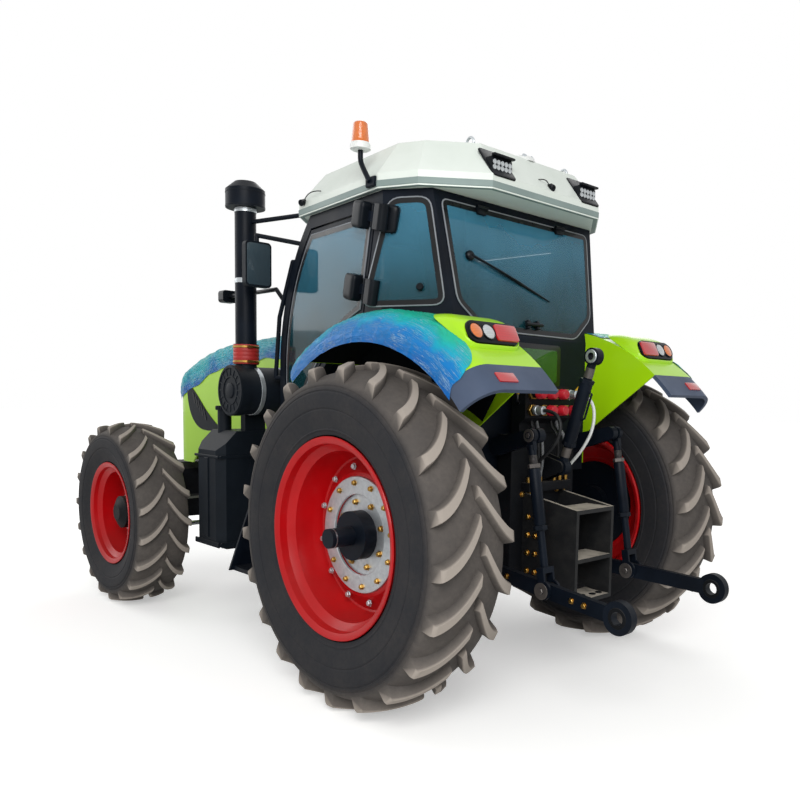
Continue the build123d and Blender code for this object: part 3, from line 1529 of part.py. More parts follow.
STAY_Z = ROOF_LOW + ROOF_SKIRT / 2
with BuildPart() as intake_stack:
    with BuildSketch(front(CLEANER_STATION)):
        with BuildLine():
            Polyline(
                (STACK_Y, NECK_TOP + FIT_GAP),
                (STACK_Y + HOSE_R, NECK_TOP + FIT_GAP),
                (STACK_Y + HOSE_R, HOSE_TOP),
                (STACK_Y + STACK_R, HOSE_TOP),
                (STACK_Y + STACK_R, STACK_TOP),
                (STACK_Y + STACK_CAP_R, STACK_TOP),
                (STACK_Y + STACK_CAP_R, STACK_CAP_TOP - 50),
                (STACK_Y + STACK_CAP_R * 0.55, STACK_CAP_TOP),
                (STACK_Y, STACK_CAP_TOP),
                close=True,
            )
        make_face()
    revolve(axis=Axis(place(CLEANER_STATION, STACK_Y, 0), (0, 0, 1)))
    stay_end = place(
        (ROOF_FRONT + ROOF_SHOULDER_STATION) / 2 - 20,
        (ROOF_FRONT_HALF + ROOF_SHOULDER) / 2 - 20,
        STAY_Z,
    )
    add(round_bar(place(CLEANER_STATION, STACK_Y, STAY_Z), stay_end, RAIL_R))
    add(roof.part, mode=Mode.SUBTRACT)
save(intake_stack.part, "intake_stack")

INLET_R = 42.0
INLET_Z = BONNET_SIDE_LOW - INLET_R - SWING_GAP
with BuildPart() as exhaust:
    with BuildSketch(front(CLEANER_STATION)):
        with BuildLine():
            Polyline(
                (-STACK_Y, MUFFLER_LOW),
                (-STACK_Y - MUFFLER_R, MUFFLER_LOW),
                (-STACK_Y - MUFFLER_R, MUFFLER_TOP),
                (-STACK_Y - EXHAUST_R, MUFFLER_TOP + 60),
                (-STACK_Y - EXHAUST_R, EXHAUST_TOP),
                (-STACK_Y, EXHAUST_TOP),
                close=True,
            )
        make_face()
    revolve(axis=Axis(place(CLEANER_STATION, -STACK_Y, 0), (0, 0, 1)))
    elbow = place(CLEANER_STATION, -STACK_Y, INLET_Z)
    add(round_bar(place(CLEANER_STATION, -ENGINE_HALF - FIT_GAP, INLET_Z), elbow, INLET_R))
    riser_top = place(CLEANER_STATION, -STACK_Y, MUFFLER_LOW + 5)
    add(round_bar(elbow - Vector(0, 0, INLET_R), riser_top, INLET_R))
    stay_right = Vector(stay_end.X, -stay_end.Y, stay_end.Z)
    add(round_bar(place(CLEANER_STATION, -STACK_Y, STAY_Z), stay_right, RAIL_R))
    add(roof.part, mode=Mode.SUBTRACT)
save(exhaust.part, "exhaust_stack")

# Steps, rails, mirrors and front indicators, on the cab
STEP_WALL = 16.0
STEP_TUCK = 90.0
with BuildPart() as cab_steps:
    for station in (STEP_REAR, STEP_FRONT - STEP_WALL):
        with BuildSketch(front(station)):
            with BuildLine():
                Polyline(
                    (STEP_IN, STEP_LOW),
                    (STEP_OUT, STEP_LOW),
                    (STEP_IN + STEP_TUCK, SILL_Z - FLOOR_PLATE - FIT_GAP),
                    (STEP_IN - STEP_TUCK, SILL_Z - FLOOR_PLATE - FIT_GAP),
                    close=True,
                )
            make_face()
        extrude(amount=STEP_WALL)
    step_rise = (SILL_Z - FLOOR_PLATE - STEP_LOW) / STEP_COUNT
    for number in range(STEP_COUNT):
        reach = STEP_OUT - (STEP_OUT - STEP_IN - STEP_TUCK) * number / STEP_COUNT - STEP_PLATE
        with BuildSketch(plan(STEP_LOW + number * step_rise)):
            with Locations(((STEP_REAR + STEP_FRONT) / 2, (STEP_IN + reach) / 2)):
                Rectangle(STEP_FRONT - STEP_REAR, reach - STEP_IN)
        extrude(amount=STEP_PLATE)
    mirror(about=Plane.XZ)
save(cab_steps.part, "cab_steps")

RAIL_HIGH = 2410.0
RAIL_LOW = 1690.0
RAIL_OUT = 36.0
RAIL_Y = 640.0
with BuildPart() as handrails:
    top_in = place(screen_station(RAIL_HIGH) - PILLAR / 2, RAIL_Y, RAIL_HIGH)
    top_out = place(screen_station(RAIL_HIGH) + RAIL_OUT, RAIL_Y + RAIL_OUT, RAIL_HIGH)
    low_out = place(CAB_FRONT + RAIL_OUT, RAIL_Y + RAIL_OUT, RAIL_LOW)
    low_in = place(CAB_FRONT - PILLAR / 2, RAIL_Y, RAIL_LOW)
    knee_z = PILLAR_STRAIGHT + (RAIL_HIGH - PILLAR_STRAIGHT) / 2
    knee = place(screen_station(knee_z) + RAIL_OUT, RAIL_Y + RAIL_OUT, knee_z)
    for start, end in ((top_in, top_out), (top_out, knee), (knee, low_out), (low_out, low_in)):
        add(round_bar(start, end, RAIL_R))
    with Locations(top_out, knee, low_out):
        Sphere(RAIL_R)
    add(cab_frame.part, mode=Mode.SUBTRACT)
    mirror(about=Plane.XZ)
save(handrails.part, "handrails")

MIRROR_STATION = 1330.0
MIRROR_Y = 832.0
MIRROR_Z = 2390.0
MIRROR_SIZE = (44.0, 180.0, 280.0)
MIRROR_ROOT_Z = 2500.0
with BuildPart() as mirrors:
    with Locations(place(MIRROR_STATION, MIRROR_Y, MIRROR_Z)):
        Box(*MIRROR_SIZE)
    fillet(mirrors.edges().filter_by(Axis.X), radius=MIRROR_SIZE[0] * 0.6)
    root = place(screen_station(MIRROR_ROOT_Z) - PILLAR / 2, RAIL_Y, MIRROR_ROOT_Z)
    head = place(MIRROR_STATION, MIRROR_Y, MIRROR_Z + MIRROR_SIZE[2] / 2 + 40)
    add(round_bar(root, head, RAIL_R))
    add(round_bar(head, place(MIRROR_STATION, MIRROR_Y, MIRROR_Z), RAIL_R))
    with Locations(head):
        Sphere(RAIL_R)
    add(cab_frame.part, mode=Mode.SUBTRACT)
    mirror(about=Plane.XZ)
save(mirrors.part, "mirrors")

INDICATOR_STATION = 2050.0
INDICATOR_Y = 655.0
INDICATOR_Z = 2262.0
INDICATOR_SIZE = (70.0, 110.0, 84.0)
INDICATOR_ROOT_Z = 2110.0
with BuildPart() as indicators:
    with Locations(place(INDICATOR_STATION, INDICATOR_Y, INDICATOR_Z)):
        Box(*INDICATOR_SIZE)
    fillet(indicators.edges().filter_by(Axis.X), radius=INDICATOR_SIZE[2] / 4)
    root = place(screen_station(INDICATOR_ROOT_Z) - PILLAR / 2, RAIL_Y, INDICATOR_ROOT_Z)
    elbow = place(screen_station(INDICATOR_ROOT_Z) + 120, INDICATOR_Y, INDICATOR_Z)
    add(round_bar(root, elbow, RAIL_R))
    add(round_bar(elbow, place(INDICATOR_STATION, INDICATOR_Y, INDICATOR_Z), RAIL_R))
    with Locations(elbow):
        Sphere(RAIL_R)
    add(cab_frame.part, mode=Mode.SUBTRACT)
    mirror(about=Plane.XZ)
save(indicators.part, "indicator_lamps")

# Inside the cab: steering console with its wheel, and the seat
WHEEL_R = 195.0
WHEEL_RIM = 15.0
WHEEL_TILT = 28.0
COLUMN_FOOT = 1130.0
COLUMN_HEAD = 930.0
COLUMN_TOP = 1900.0
COLUMN_HALF = 110.0
tilt = radians(WHEEL_TILT)
wheel_plane = Plane(
    origin=place(COLUMN_HEAD, 0, COLUMN_TOP + 60), x_dir=(0, 1, 0), z_dir=(-sin(tilt), 0, cos(tilt))
)
with BuildPart() as console:
    with BuildSketch(side()):
        with BuildLine():
            Polyline(
                (COLUMN_FOOT - 90, SILL_Z),
                (COLUMN_FOOT + 110, SILL_Z),
                (COLUMN_HEAD + 170, COLUMN_TOP),
                (COLUMN_HEAD, COLUMN_TOP + 20),
                (COLUMN_HEAD - 30, COLUMN_TOP - 90),
                close=True,
            )
        make_face()
    extrude(amount=COLUMN_HALF, both=True)
    with BuildSketch(wheel_plane):
        Circle(WHEEL_R + WHEEL_RIM)
        Circle(WHEEL_R - WHEEL_RIM, mode=Mode.SUBTRACT)
        with PolarLocations(0, 3, start_angle=90):
            with Locations((WHEEL_R / 2, 0)):
                Rectangle(WHEEL_R, 34)
    extrude(amount=WHEEL_RIM, both=True)
    with BuildSketch(wheel_plane):
        Circle(40)
    extrude(amount=-130)
save(console.part, "steering_console")

SEAT_STATION = 360.0
SEAT_HALF = 245.0
CUSHION_LOW = 1540.0
CUSHION_THICK = 130.0
CUSHION_LENGTH = 480.0
BACK_THICK = 120.0
BACK_TOP = 2240.0
with BuildPart() as seat:
    with BuildSketch(plan(SILL_Z)):
        with Locations((SEAT_STATION, 0)):
            Rectangle(360, 340)
    extrude(amount=CUSHION_LOW - SILL_Z - FIT_GAP, taper=-4)
    with BuildSketch(plan(CUSHION_LOW)):
        with Locations((SEAT_STATION + 20, 0)):
            RectangleRounded(CUSHION_LENGTH, 2 * SEAT_HALF, 60)
    extrude(amount=CUSHION_THICK)
    back_plane = Plane(
        origin=place(SEAT_STATION - CUSHION_LENGTH / 2 + 70, 0, CUSHION_LOW + CUSHION_THICK + FIT_GAP),
        x_dir=(0, 1, 0),
        z_dir=(1, 0, 0),
    )
    with BuildSketch(back_plane):
        with Locations((0, (BACK_TOP - CUSHION_LOW - CUSHION_THICK) / 2)):
            RectangleRounded(2 * SEAT_HALF - 40, BACK_TOP - CUSHION_LOW - CUSHION_THICK, 60)
    extrude(amount=-BACK_THICK)
save(seat.part, "seat")

# Rear hitch frame, power take-off and couplers
with BuildPart() as hitch_frame:
    for y in (HITCH_HALF, HITCH_PLATE - HITCH_HALF):
        with BuildSketch(side(y)):
            with BuildLine():
                Polyline(
                    (GEARBOX_REAR, GEARBOX_LOW + 20),
                    (HITCH_REAR, HITCH_LOW),
                    (HITCH_REAR, HITCH_TOP),
                    (GEARBOX_REAR, HITCH_TOP + 60),
                    close=True,
                )
            make_face()
        extrude(amount=HITCH_PLATE)
    for z in (HITCH_LOW, (HITCH_LOW + HITCH_TOP - HITCH_PLATE) / 2 - 20, HITCH_TOP - HITCH_PLATE):
        with BuildSketch(plan(z)):
            with Locations((HITCH_REAR + 85, 0)):
                Rectangle(170, 2 * HITCH_HALF)
        extrude(amount=HITCH_PLATE)
    with BuildSketch(plan(0)):
        with Locations((HITCH_REAR + 70, 0)):
            Circle(DRAWBAR_HOLE_R)
    extrude(amount=HITCH_LOW + 2 * HITCH_PLATE, mode=Mode.SUBTRACT)
save(hitch_frame.part, "hitch_frame")

with BuildPart() as pto:
    add(
        round_bar(
            place(GEARBOX_REAR, 0, PTO_Z), place(GEARBOX_REAR - PTO_LENGTH, 0, PTO_Z), PTO_R
        )
    )
save(pto.part, "pto_shaft")

COUPLER_LOW = 1480.0
COUPLER_TOP = 1660.0
COUPLER_HALF = 190.0
COUPLER_R = 23.0
COUPLER_LENGTH = 90.0
COUPLER_FACE = -380.0
with BuildPart() as couplers:
    with BuildSketch(side()):
        with BuildLine():
            Polyline(
                (COUPLER_FACE + 40, ARM_SHAFT_Z + 60),
                (CAB_REAR - 30, ARM_SHAFT_Z + 60),
                (CAB_REAR - 30, COUPLER_TOP),
                (COUPLER_FACE, COUPLER_TOP),
                (COUPLER_FACE, COUPLER_LOW),
                (COUPLER_FACE + 40, COUPLER_LOW - 30),
                close=True,
            )
        make_face()
    extrude(amount=COUPLER_HALF, both=True)
    with BuildSketch(front(COUPLER_FACE)):
        with Locations((0, (COUPLER_LOW + COUPLER_TOP) / 2)):
            with GridLocations(2 * COUPLER_HALF / 4, (COUPLER_TOP - COUPLER_LOW) / 2, 4, 2):
                Circle(COUPLER_R)
    extrude(amount=-COUPLER_LENGTH)
save(couplers.part, "hydraulic_couplers")

# Three-point linkage: lift arms, lift rods, lower links and the stowed top link
LINK_RUN = LINK_PIVOT_X - LINK_END_STATION


def link_share(station):
    """Share of the way from the lower link's pivot to its end."""
    return (LINK_PIVOT_X - station) / LINK_RUN


def link_point(station):
    """Point of the left lower link's middle line at a station."""
    share = link_share(station)
    y = LINK_PIVOT_Y + share * (LINK_END_Y - LINK_PIVOT_Y)
    return place(station, y, LINK_PIVOT_Z + share * (LINK_END_Z - LINK_PIVOT_Z))


ROD_PIN = link_point(ROD_PIN_STATION)
FORK_ROOM = 12.0
FORK_PRONG = 14.0
LINK_EYE_WIDTH = 45.0
PIVOT_EYE_R = 44.0
with BuildPart() as lower_links:
    start = link_point(LINK_PIVOT_X - PIVOT_EYE_R * 0.6)
    end = link_point(LINK_END_STATION + LINK_EYE_R * 0.6)
    along = end - start
    link_plane = Plane(
        origin=start, x_dir=along, z_dir=Vector(along.Y, -along.X, 0)
    )
    with BuildSketch(link_plane):
        with Locations((along.length / 2, 0)):
            Rectangle(along.length, LINK_HEIGHT)
    extrude(amount=LINK_THICK / 2, both=True)
    for station, radius, width in (
        (LINK_PIVOT_X, PIVOT_EYE_R, LINK_THICK),
        (LINK_END_STATION, LINK_EYE_R, LINK_EYE_WIDTH),
    ):
        eye = link_point(station)
        with BuildSketch(Plane(origin=eye, z_dir=(0, 1, 0))):
            Circle(radius)
        extrude(amount=width / 2, both=True)
    for station, radius in ((LINK_PIVOT_X, LINK_PIN_R), (LINK_END_STATION, LINK_HOLE_R)):
        with BuildSketch(Plane(origin=link_point(station), z_dir=(0, 1, 0))):
            Circle(radius)
        extrude(amount=LINK_EYE_R, both=True, mode=Mode.SUBTRACT)
    with BuildSketch(Plane(origin=ROD_PIN, z_dir=(0, 1, 0))):
        Circle(LINK_PIN_R)
    extrude(amount=LINK_THICK / 2 + FORK_ROOM + FORK_PRONG + 6, both=True)
    mirror(about=Plane.XZ)
save(lower_links.part, "lower_links")

ARM_END = place(ARM_END_STATION, ROD_PIN.Y, ARM_END_Z)
ARM_END_R = 38.0
ARM_ROOT_R = 50.0
EYE_PLATE = 28.0
with BuildPart() as lift_arms:
    arm_y = ROD_PIN.Y - LIFT_ROD_R - SWING_GAP
    with BuildSketch(side(arm_y)):
        with BuildLine():
            Polyline(
                (ARM_SHAFT_STATION, ARM_SHAFT_Z - ARM_ROOT_R),
                (ARM_END_STATION, ARM_END_Z - ARM_END_R),
                (ARM_END_STATION, ARM_END_Z + ARM_END_R),
                (ARM_SHAFT_STATION, ARM_SHAFT_Z + ARM_ROOT_R),
                close=True,
            )
        make_face()
        with Locations((ARM_SHAFT_STATION, ARM_SHAFT_Z)):
            Circle(ARM_ROOT_R)
        with Locations((ARM_END_STATION, ARM_END_Z)):
            Circle(ARM_END_R)
    extrude(amount=ARM_THICK)
    pin_root = Vector(ARM_END.X, arm_y, ARM_END.Z)
    with BuildSketch(Plane(origin=pin_root, z_dir=(0, 1, 0))):
        Circle(LINK_PIN_R - FIT_GAP)
    extrude(amount=EYE_PLATE / 2 + LIFT_ROD_R + SWING_GAP + 12)
    mirror(about=Plane.XZ)
    with BuildSketch(side()):
        with Locations((ARM_SHAFT_STATION, ARM_SHAFT_Z)):
            Circle(ARM_SHAFT_R)
    extrude(amount=arm_y - ARM_THICK / 2, both=True)
save(lift_arms.part, "lift_arms")

FORK_HOLE_R = 34.0
FORK_EYE_R = 48.0
HOLE_SHIFT = (-4.0, 10.0)
with BuildPart() as lift_rods:
    run = ROD_PIN - ARM_END
    rod_plane = Plane(origin=ARM_END, x_dir=run, z_dir=(0, 1, 0))
    with BuildSketch(rod_plane):
        Circle(ARM_END_R)
        with Locations((ARM_END_R, 0)):
            Rectangle(2 * ARM_END_R, 2 * LIFT_ROD_R)
        Circle(LINK_PIN_R, mode=Mode.SUBTRACT)
    extrude(amount=EYE_PLATE / 2, both=True)
    yoke = run.length - LINK_HEIGHT * 1.5
    down = run.normalized()
    add(round_bar(ARM_END + down * ARM_END_R * 1.3, ARM_END + down * yoke, LIFT_ROD_R))
    prong = LINK_THICK / 2 + FORK_ROOM
    hole = (run.length + HOLE_SHIFT[0], HOLE_SHIFT[1])
    with BuildSketch(rod_plane):
        with Locations(((yoke + hole[0]) / 2, HOLE_SHIFT[1] / 2)):
            Rectangle(hole[0] - yoke, 2 * LIFT_ROD_R)
        with Locations(hole):
            Circle(FORK_EYE_R)
    extrude(amount=prong + FORK_PRONG, both=True)
    with BuildSketch(rod_plane):
        with Locations((hole[0] - 15, 0)):
            Rectangle(2 * FORK_EYE_R + 40, 4 * FORK_EYE_R)
    extrude(amount=prong, both=True, mode=Mode.SUBTRACT)
    with BuildSketch(rod_plane):
        with Locations(hole):
            Circle(FORK_HOLE_R)
    extrude(amount=prong + 2 * FORK_PRONG, both=True, mode=Mode.SUBTRACT)
    mirror(about=Plane.XZ)
save(lift_rods.part, "lift_rods")

lean = radians(TOP_LINK_LEAN)
top_pivot = place(TOP_PIVOT_STATION, 0, TOP_PIVOT_Z)
top_end = top_pivot + Vector(-sin(lean), 0, cos(lean)) * TOP_LINK_LENGTH
with BuildPart() as top_link:
    add(round_bar(top_pivot, top_end, TOP_LINK_R))
    quarter = (top_end - top_pivot) * 0.2
    add(round_bar(top_pivot + quarter, top_end - quarter, TOP_LINK_R * 1.5))
    for eye in (top_pivot, top_end):
        with BuildSketch(Plane(origin=eye, z_dir=(0, 1, 0))):
            Circle(TOP_EYE_R)
        extrude(amount=TOP_EYE_WIDTH / 2, both=True)
    for eye in (top_pivot, top_end):
        with BuildSketch(Plane(origin=eye, z_dir=(0, 1, 0))):
            Circle(TOP_HOLE_R)
        extrude(amount=TOP_EYE_WIDTH, both=True, mode=Mode.SUBTRACT)
save(top_link.part, "top_link")
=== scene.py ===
"""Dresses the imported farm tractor: tyres, paint, glass, film wrap, hoses and fittings.

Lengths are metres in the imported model's frame: +X forward, +Y to the tractor's left, +Z up.
"""

import json
import logging
import math
from dataclasses import dataclass, field
from enum import Enum

import bmesh
import bpy
import numpy as np
from mathutils import Matrix, Vector

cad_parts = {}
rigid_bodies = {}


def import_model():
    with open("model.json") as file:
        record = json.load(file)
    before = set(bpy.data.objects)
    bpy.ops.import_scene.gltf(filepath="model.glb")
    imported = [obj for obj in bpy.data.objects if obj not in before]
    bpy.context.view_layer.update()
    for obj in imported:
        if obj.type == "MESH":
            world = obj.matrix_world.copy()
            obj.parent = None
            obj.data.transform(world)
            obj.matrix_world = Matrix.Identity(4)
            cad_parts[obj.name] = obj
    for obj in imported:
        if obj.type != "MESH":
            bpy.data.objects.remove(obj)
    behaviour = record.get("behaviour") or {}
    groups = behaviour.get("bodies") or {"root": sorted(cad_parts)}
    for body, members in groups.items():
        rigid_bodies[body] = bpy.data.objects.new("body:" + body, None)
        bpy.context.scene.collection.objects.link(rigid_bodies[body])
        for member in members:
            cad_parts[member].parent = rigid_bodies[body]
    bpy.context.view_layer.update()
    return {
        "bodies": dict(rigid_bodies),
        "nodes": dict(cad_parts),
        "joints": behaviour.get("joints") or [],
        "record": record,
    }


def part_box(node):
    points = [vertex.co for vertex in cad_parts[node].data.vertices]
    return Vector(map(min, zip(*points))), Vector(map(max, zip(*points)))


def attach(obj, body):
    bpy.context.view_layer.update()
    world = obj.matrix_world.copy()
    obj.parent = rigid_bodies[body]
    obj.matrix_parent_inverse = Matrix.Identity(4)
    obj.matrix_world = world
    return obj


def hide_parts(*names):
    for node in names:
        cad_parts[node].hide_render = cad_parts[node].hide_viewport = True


LOG = logging.getLogger("tractor")
Array = np.ndarray
MM = 0.001
UP = (0, 0, 1)
TO_LEFT, TO_RIGHT, TO_REAR = (0, 1, 0), (0, -1, 0), (-1, 0, 0)
# Height of the rear axle, in millimetres
AXLE_Z = 877.5
# Way that the rear window faces, and the way up along it
REAR_OUT = np.array([-0.986, 0.0, 0.167])
REAR_UP = np.array([0.167, 0.0, 0.986])
# Station of the bonnet's rear end, its half width there and what that loses per millimetre ahead
BONNET_REAR, BONNET_HALF, BONNET_TAPER = 1405.0, 392.0, 0.02815


class Side(Enum):
    """Side of the tractor, with the sign of its Y."""

    LEFT = 1
    RIGHT = -1

    @property
    def word(self) -> str:
        """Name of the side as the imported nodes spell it."""
        return self.name.lower()

    @property
    def out(self) -> Array:
        """Direction away from the tractor's middle."""
        return np.array([0.0, self.value, 0.0])


def turns(count: int) -> Array:
    """Angles of even steps round a full turn."""
    return np.linspace(0, 2 * math.pi, count, endpoint=False)


def unit(way) -> Array:
    """A direction brought to the length 1."""
    return np.asarray(way, float) / np.linalg.norm(way)


# Finishes


def linear(colour: str) -> tuple[float, float, float, float]:
    """Linear red, green, blue and full alpha of an sRGB hex colour such as "#A5D800"."""
    parts = [int(colour[i : i + 2], 16) / 255 for i in (1, 3, 5)]
    made = [p / 12.92 if p <= 0.04045 else ((p + 0.055) / 1.055) ** 2.4 for p in parts]
    return (made[0], made[1], made[2], 1.0)


class Nodes:
    """Shader nodes of one material or world."""

    def __init__(self, tree) -> None:
        """Starts with an empty node tree."""
        tree.nodes.clear()
        self.tree = tree

    def add(self, kind: str, inputs: dict | tuple = (), output=0, stops=(), **settings):
        """Adds a node with its settings, input values and links.

        Args:
            kind: Blender's type name of the node, without its common start.
            inputs: Values, hex colours or the sockets to link from, in order or by name or number.
            output: Name or number of the output that is asked for.
            stops: Place and hex colour of each stop, where the node has a colour ramp.
            settings: The node's own attributes.

        Returns:
            The output socket, or None if the node has none.
        """
        node = self.tree.nodes.new("ShaderNode" + kind)
        for key, value in settings.items():
            setattr(node, key, value)
        for key, value in inputs.items() if isinstance(inputs, dict) else enumerate(inputs):
            if isinstance(value, bpy.types.NodeSocket):
                self.tree.links.new(value, node.inputs[key])
            else:
                node.inputs[key].default_value = linear(value) if isinstance(value, str) else value
        for index, (place, colour) in enumerate(stops):
            ramp = node.color_ramp.elements
            stop = ramp[index] if index < len(ramp) else ramp.new(place)
            stop.position = place
            stop.color = linear(colour)
        return node.outputs[output] if node.outputs else None


def new_material(name: str, inputs) -> bpy.types.Material:
    """Makes a material of one principled shader.

    Args:
        name: Name of the material.
        inputs: Function that adds nodes and returns the shader's inputs by name.

    Returns:
        The material.
    """
    made = bpy.data.materials.new(name)
    made.use_nodes = True
    nodes = Nodes(made.node_tree)
    nodes.add("OutputMaterial", {"Surface": nodes.add("BsdfPrincipled", inputs(nodes))})
    return made


@dataclass(frozen=True)
class Look:
    """What a piece is made of: a plain name and the record's slot that it belongs to."""

    name: str
    slot: str

    def material(self) -> bpy.types.Material:
        """Returns the material, made at its first use."""
        return bpy.data.materials.get(self.name) or new_material(self.name, self.inputs)

    def inputs(self, nodes: Nodes) -> dict:
        """Inputs of the principled shader by name; each kind of look has its own."""
        raise NotImplementedError


@dataclass(frozen=True)
class Finish(Look):
    """A finish with two close colours in patches, a fine grain and settled dust.

    Attributes:
        colour: Main colour.
        patch_colour: Colour of the patches.
        roughness: Middle of the roughness.
        metallic: 1 for bare metal.
        coat: Weight of a clear coat.
        patch_mm: Size of the patches.
        grain_mm: Size of the grain in the surface.
        grain_depth: Strength of the grain.
        specular: Strength of the plain reflection, 0.5 for most paints.
        dust: How much dust lies on what faces up.
        dust_colour: Colour of that dust.
    """

    colour: str
    patch_colour: str
    roughness: float = 0.5
    metallic: float = 0.0
    coat: float = 0.0
    patch_mm: float = 260.0
    grain_mm: float = 4.0
    grain_depth: float = 0.06
    specular: float = 0.5
    dust: float = 0.0
    dust_colour: str = "#9A938A"

    def inputs(self, nodes: Nodes) -> dict:
        """Lays patches, dust, roughness and grain on object coordinates."""
        spot = nodes.add("TexCoord", output="Object")
        cloud = {"Vector": spot, "Scale": 1 / (self.patch_mm * MM), "Detail": 4.0, "Roughness": 0.6}
        patches = nodes.add("TexNoise", cloud)
        share = nodes.add("MapRange", (patches, 0.38, 0.66, 0.0, 1.0))
        paints = {0: share, 6: self.colour, 7: self.patch_colour}
        colour = nodes.add("Mix", paints, 2, data_type="RGBA")
        if self.dust > 0:
            up = nodes.add("SeparateXYZ", (nodes.add("NewGeometry", output="Normal"),), "Z")
            lying = nodes.add("Math", (up, patches), operation="MULTIPLY")
            amount = nodes.add("MapRange", (lying, 0.1, 0.55, 0.0, self.dust))
            colour = nodes.add("Mix", {0: amount, 6: colour, 7: self.dust_colour}, 2, data_type="RGBA")
        fine = {"Vector": spot, "Scale": 1 / (self.grain_mm * MM), "Detail": 2.0}
        grain = nodes.add("TexNoise", fine)
        relief = {"Height": grain, "Strength": self.grain_depth, "Distance": self.grain_mm * MM}
        low, high = max(self.roughness - 0.07, 0.02), min(self.roughness + 0.07, 1.0)
        return {
            "Base Color": colour,
            "Roughness": nodes.add("MapRange", (patches, 0.3, 0.7, low, high)),
            "Normal": nodes.add("Bump", relief),
            "Metallic": self.metallic,
            "Specular IOR Level": self.specular,
            "Coat Weight": self.coat,
            "Coat Roughness": 0.06,
        }


# Enamel over pressed steel: an even colour under a clear gloss, faint orange peel.
LIME = Finish(
    "lime_enamel", "green_paint", "#ABE00B", "#A4D908", 0.34, coat=0.3, patch_mm=900, grain_mm=7,
    grain_depth=0.02, specular=0.4,
)
# Rim enamel sprayed on rolled steel: deep red, half gloss, thin dust in the well.
RIM_RED = Finish(
    "rim_enamel", "red_paint", "#B8060E", "#A8050B", 0.36, coat=0.1, patch_mm=340, grain_depth=0.03,
    specular=0.25, dust=0.06, dust_colour="#8E7C74",
)
# Zinc-plated plate: pale, slightly mottled grey metal.
ZINC = Finish(
    "zinc_plate", "bright_steel", "#C4C9CC", "#B2B8BC", 0.38, metallic=0.8, patch_mm=30, grain_mm=2.5
)
# Black enamel on welded frames: half gloss with some settled dust.
BLACK = Finish("black_enamel", "black_paint", "#0B1018", "#111822", 0.42, specular=0.1, dust=0.03)
# Chassis black sprayed over rough castings.
CASTING = Finish(
    "painted_casting", "black_paint", "#0B0D10", "#14161A", 0.55, patch_mm=180, grain_mm=6,
    grain_depth=0.25, specular=0.14, dust=0.12,
)
# Moulded polyethylene with a fine spark-eroded grain.
MOULDED = Finish(
    "moulded_plastic", "black_plastic", "#0F141A", "#161C23", 0.5, patch_mm=400, grain_mm=3,
    grain_depth=0.12, specular=0.12, dust=0.05,
)
# Smooth black plastic for covers and lamp bodies.
SMOOTH_BLACK = Finish(
    "smooth_black_plastic", "black_plastic", "#0A0D12", "#10151B", 0.34, grain_depth=0.03,
    specular=0.16,
)
# Black sheet under the fenders, almost no gloss: painted shade where the fenders' undersides lie in
# shadow.
FENDER_SHADE_LINER = Finish(
    "fender_liner", "black_plastic", "#04080C", "#080C10", 0.8, grain_depth=0.2, specular=0.1
)
# Slate-grey moulded trim on the fenders.
SLATE = Finish(
    "slate_moulding", "slate_trim", "#4A566C", "#434E62", 0.5, patch_mm=300, grain_depth=0.05,
    specular=0.2,
)
# Glossy moulded roof skin, pale with a breath of green.
ROOF_SKIN = Finish(
    "roof_moulding", "roof_white", "#DFE6DF", "#D6DED6", 0.45, coat=0.05, patch_mm=500,
    grain_depth=0.02, specular=0.3,
)
# The roof's lower band: the same moulding painted greyer, as painted shade on the roof's lower skirt.
ROOF_PAINTED_SHADE = Finish("roof_band", "roof_white", "#8B9A97", "#81908D", 0.5, patch_mm=400, specular=0.2)
# Silicone hose: flat red rubber.
RED_HOSE = Finish("silicone_hose", "red_paint", "#A8201C", "#931A18", 0.55, grain_mm=2)
# Exhaust steel, heat-dulled.
EXHAUST = Finish(
    "exhaust_steel", "bright_steel", "#5A5654", "#6B6561", 0.5, metallic=0.7, patch_mm=120,
    grain_depth=0.1,
)
# Turned and ground steel.
STEEL = Finish("ground_steel", "bright_steel", "#A9ADB0", "#989DA1", 0.3, metallic=1.0, patch_mm=60)
# Machined brass fittings.
BRASS = Finish("brass", "bright_steel", "#B08D4C", "#9C7A3C", 0.35, metallic=1.0, patch_mm=40)
# Dip-moulded dust caps.
RED_CAP = Finish("red_dust_cap", "red_paint", "#C0182A", "#A81424", 0.4, grain_mm=2)
# Yellow lever grips.
YELLOW = Finish("yellow_grip", "amber_lens", "#E0B01C", "#CFA012", 0.45, grain_mm=2)
# Woven seat cloth.
CLOTH = Finish(
    "seat_cloth", "cushion", "#24262B", "#2E3138", 0.85, patch_mm=12, grain_mm=2.2, grain_depth=0.4
)
# Rubber seal round the panes: paler than the frame.
SEAL = Finish("rubber_seal", "black_plastic", "#7A7E84", "#8A8E93", 0.5, grain_depth=0.05, specular=0.3)
# Fired black enamel along the edge of a pane.
FRIT = Finish(
    "ceramic_border", "black_plastic", "#06080B", "#0B0D10", 0.3, grain_depth=0.02, specular=0.3
)
# Grey woven hose sleeve.
GREY_HOSE = Finish(
    "grey_hose", "black_plastic", "#77797B", "#66686A", 0.6, patch_mm=8, grain_mm=2, grain_depth=0.3
)
# Black hydraulic hose.
BLACK_HOSE = Finish(
    "black_hose", "black_plastic", "#111214", "#1A1B1D", 0.5, patch_mm=20, grain_mm=2, specular=0.3
)
# White moulded bits on the roof.
WHITE = Finish("white_plastic", "roof_white", "#E6E8E6", "#DDE0DD", 0.3, grain_depth=0.02)
# Trodden steel plate, pale with dried soil.
TROD = Finish(
    "trodden_plate", "black_paint", "#17181A", "#222222", 0.6, patch_mm=90, grain_mm=5,
    grain_depth=0.2, specular=0.25, dust=1.0, dust_colour="#B4AC9F",
)


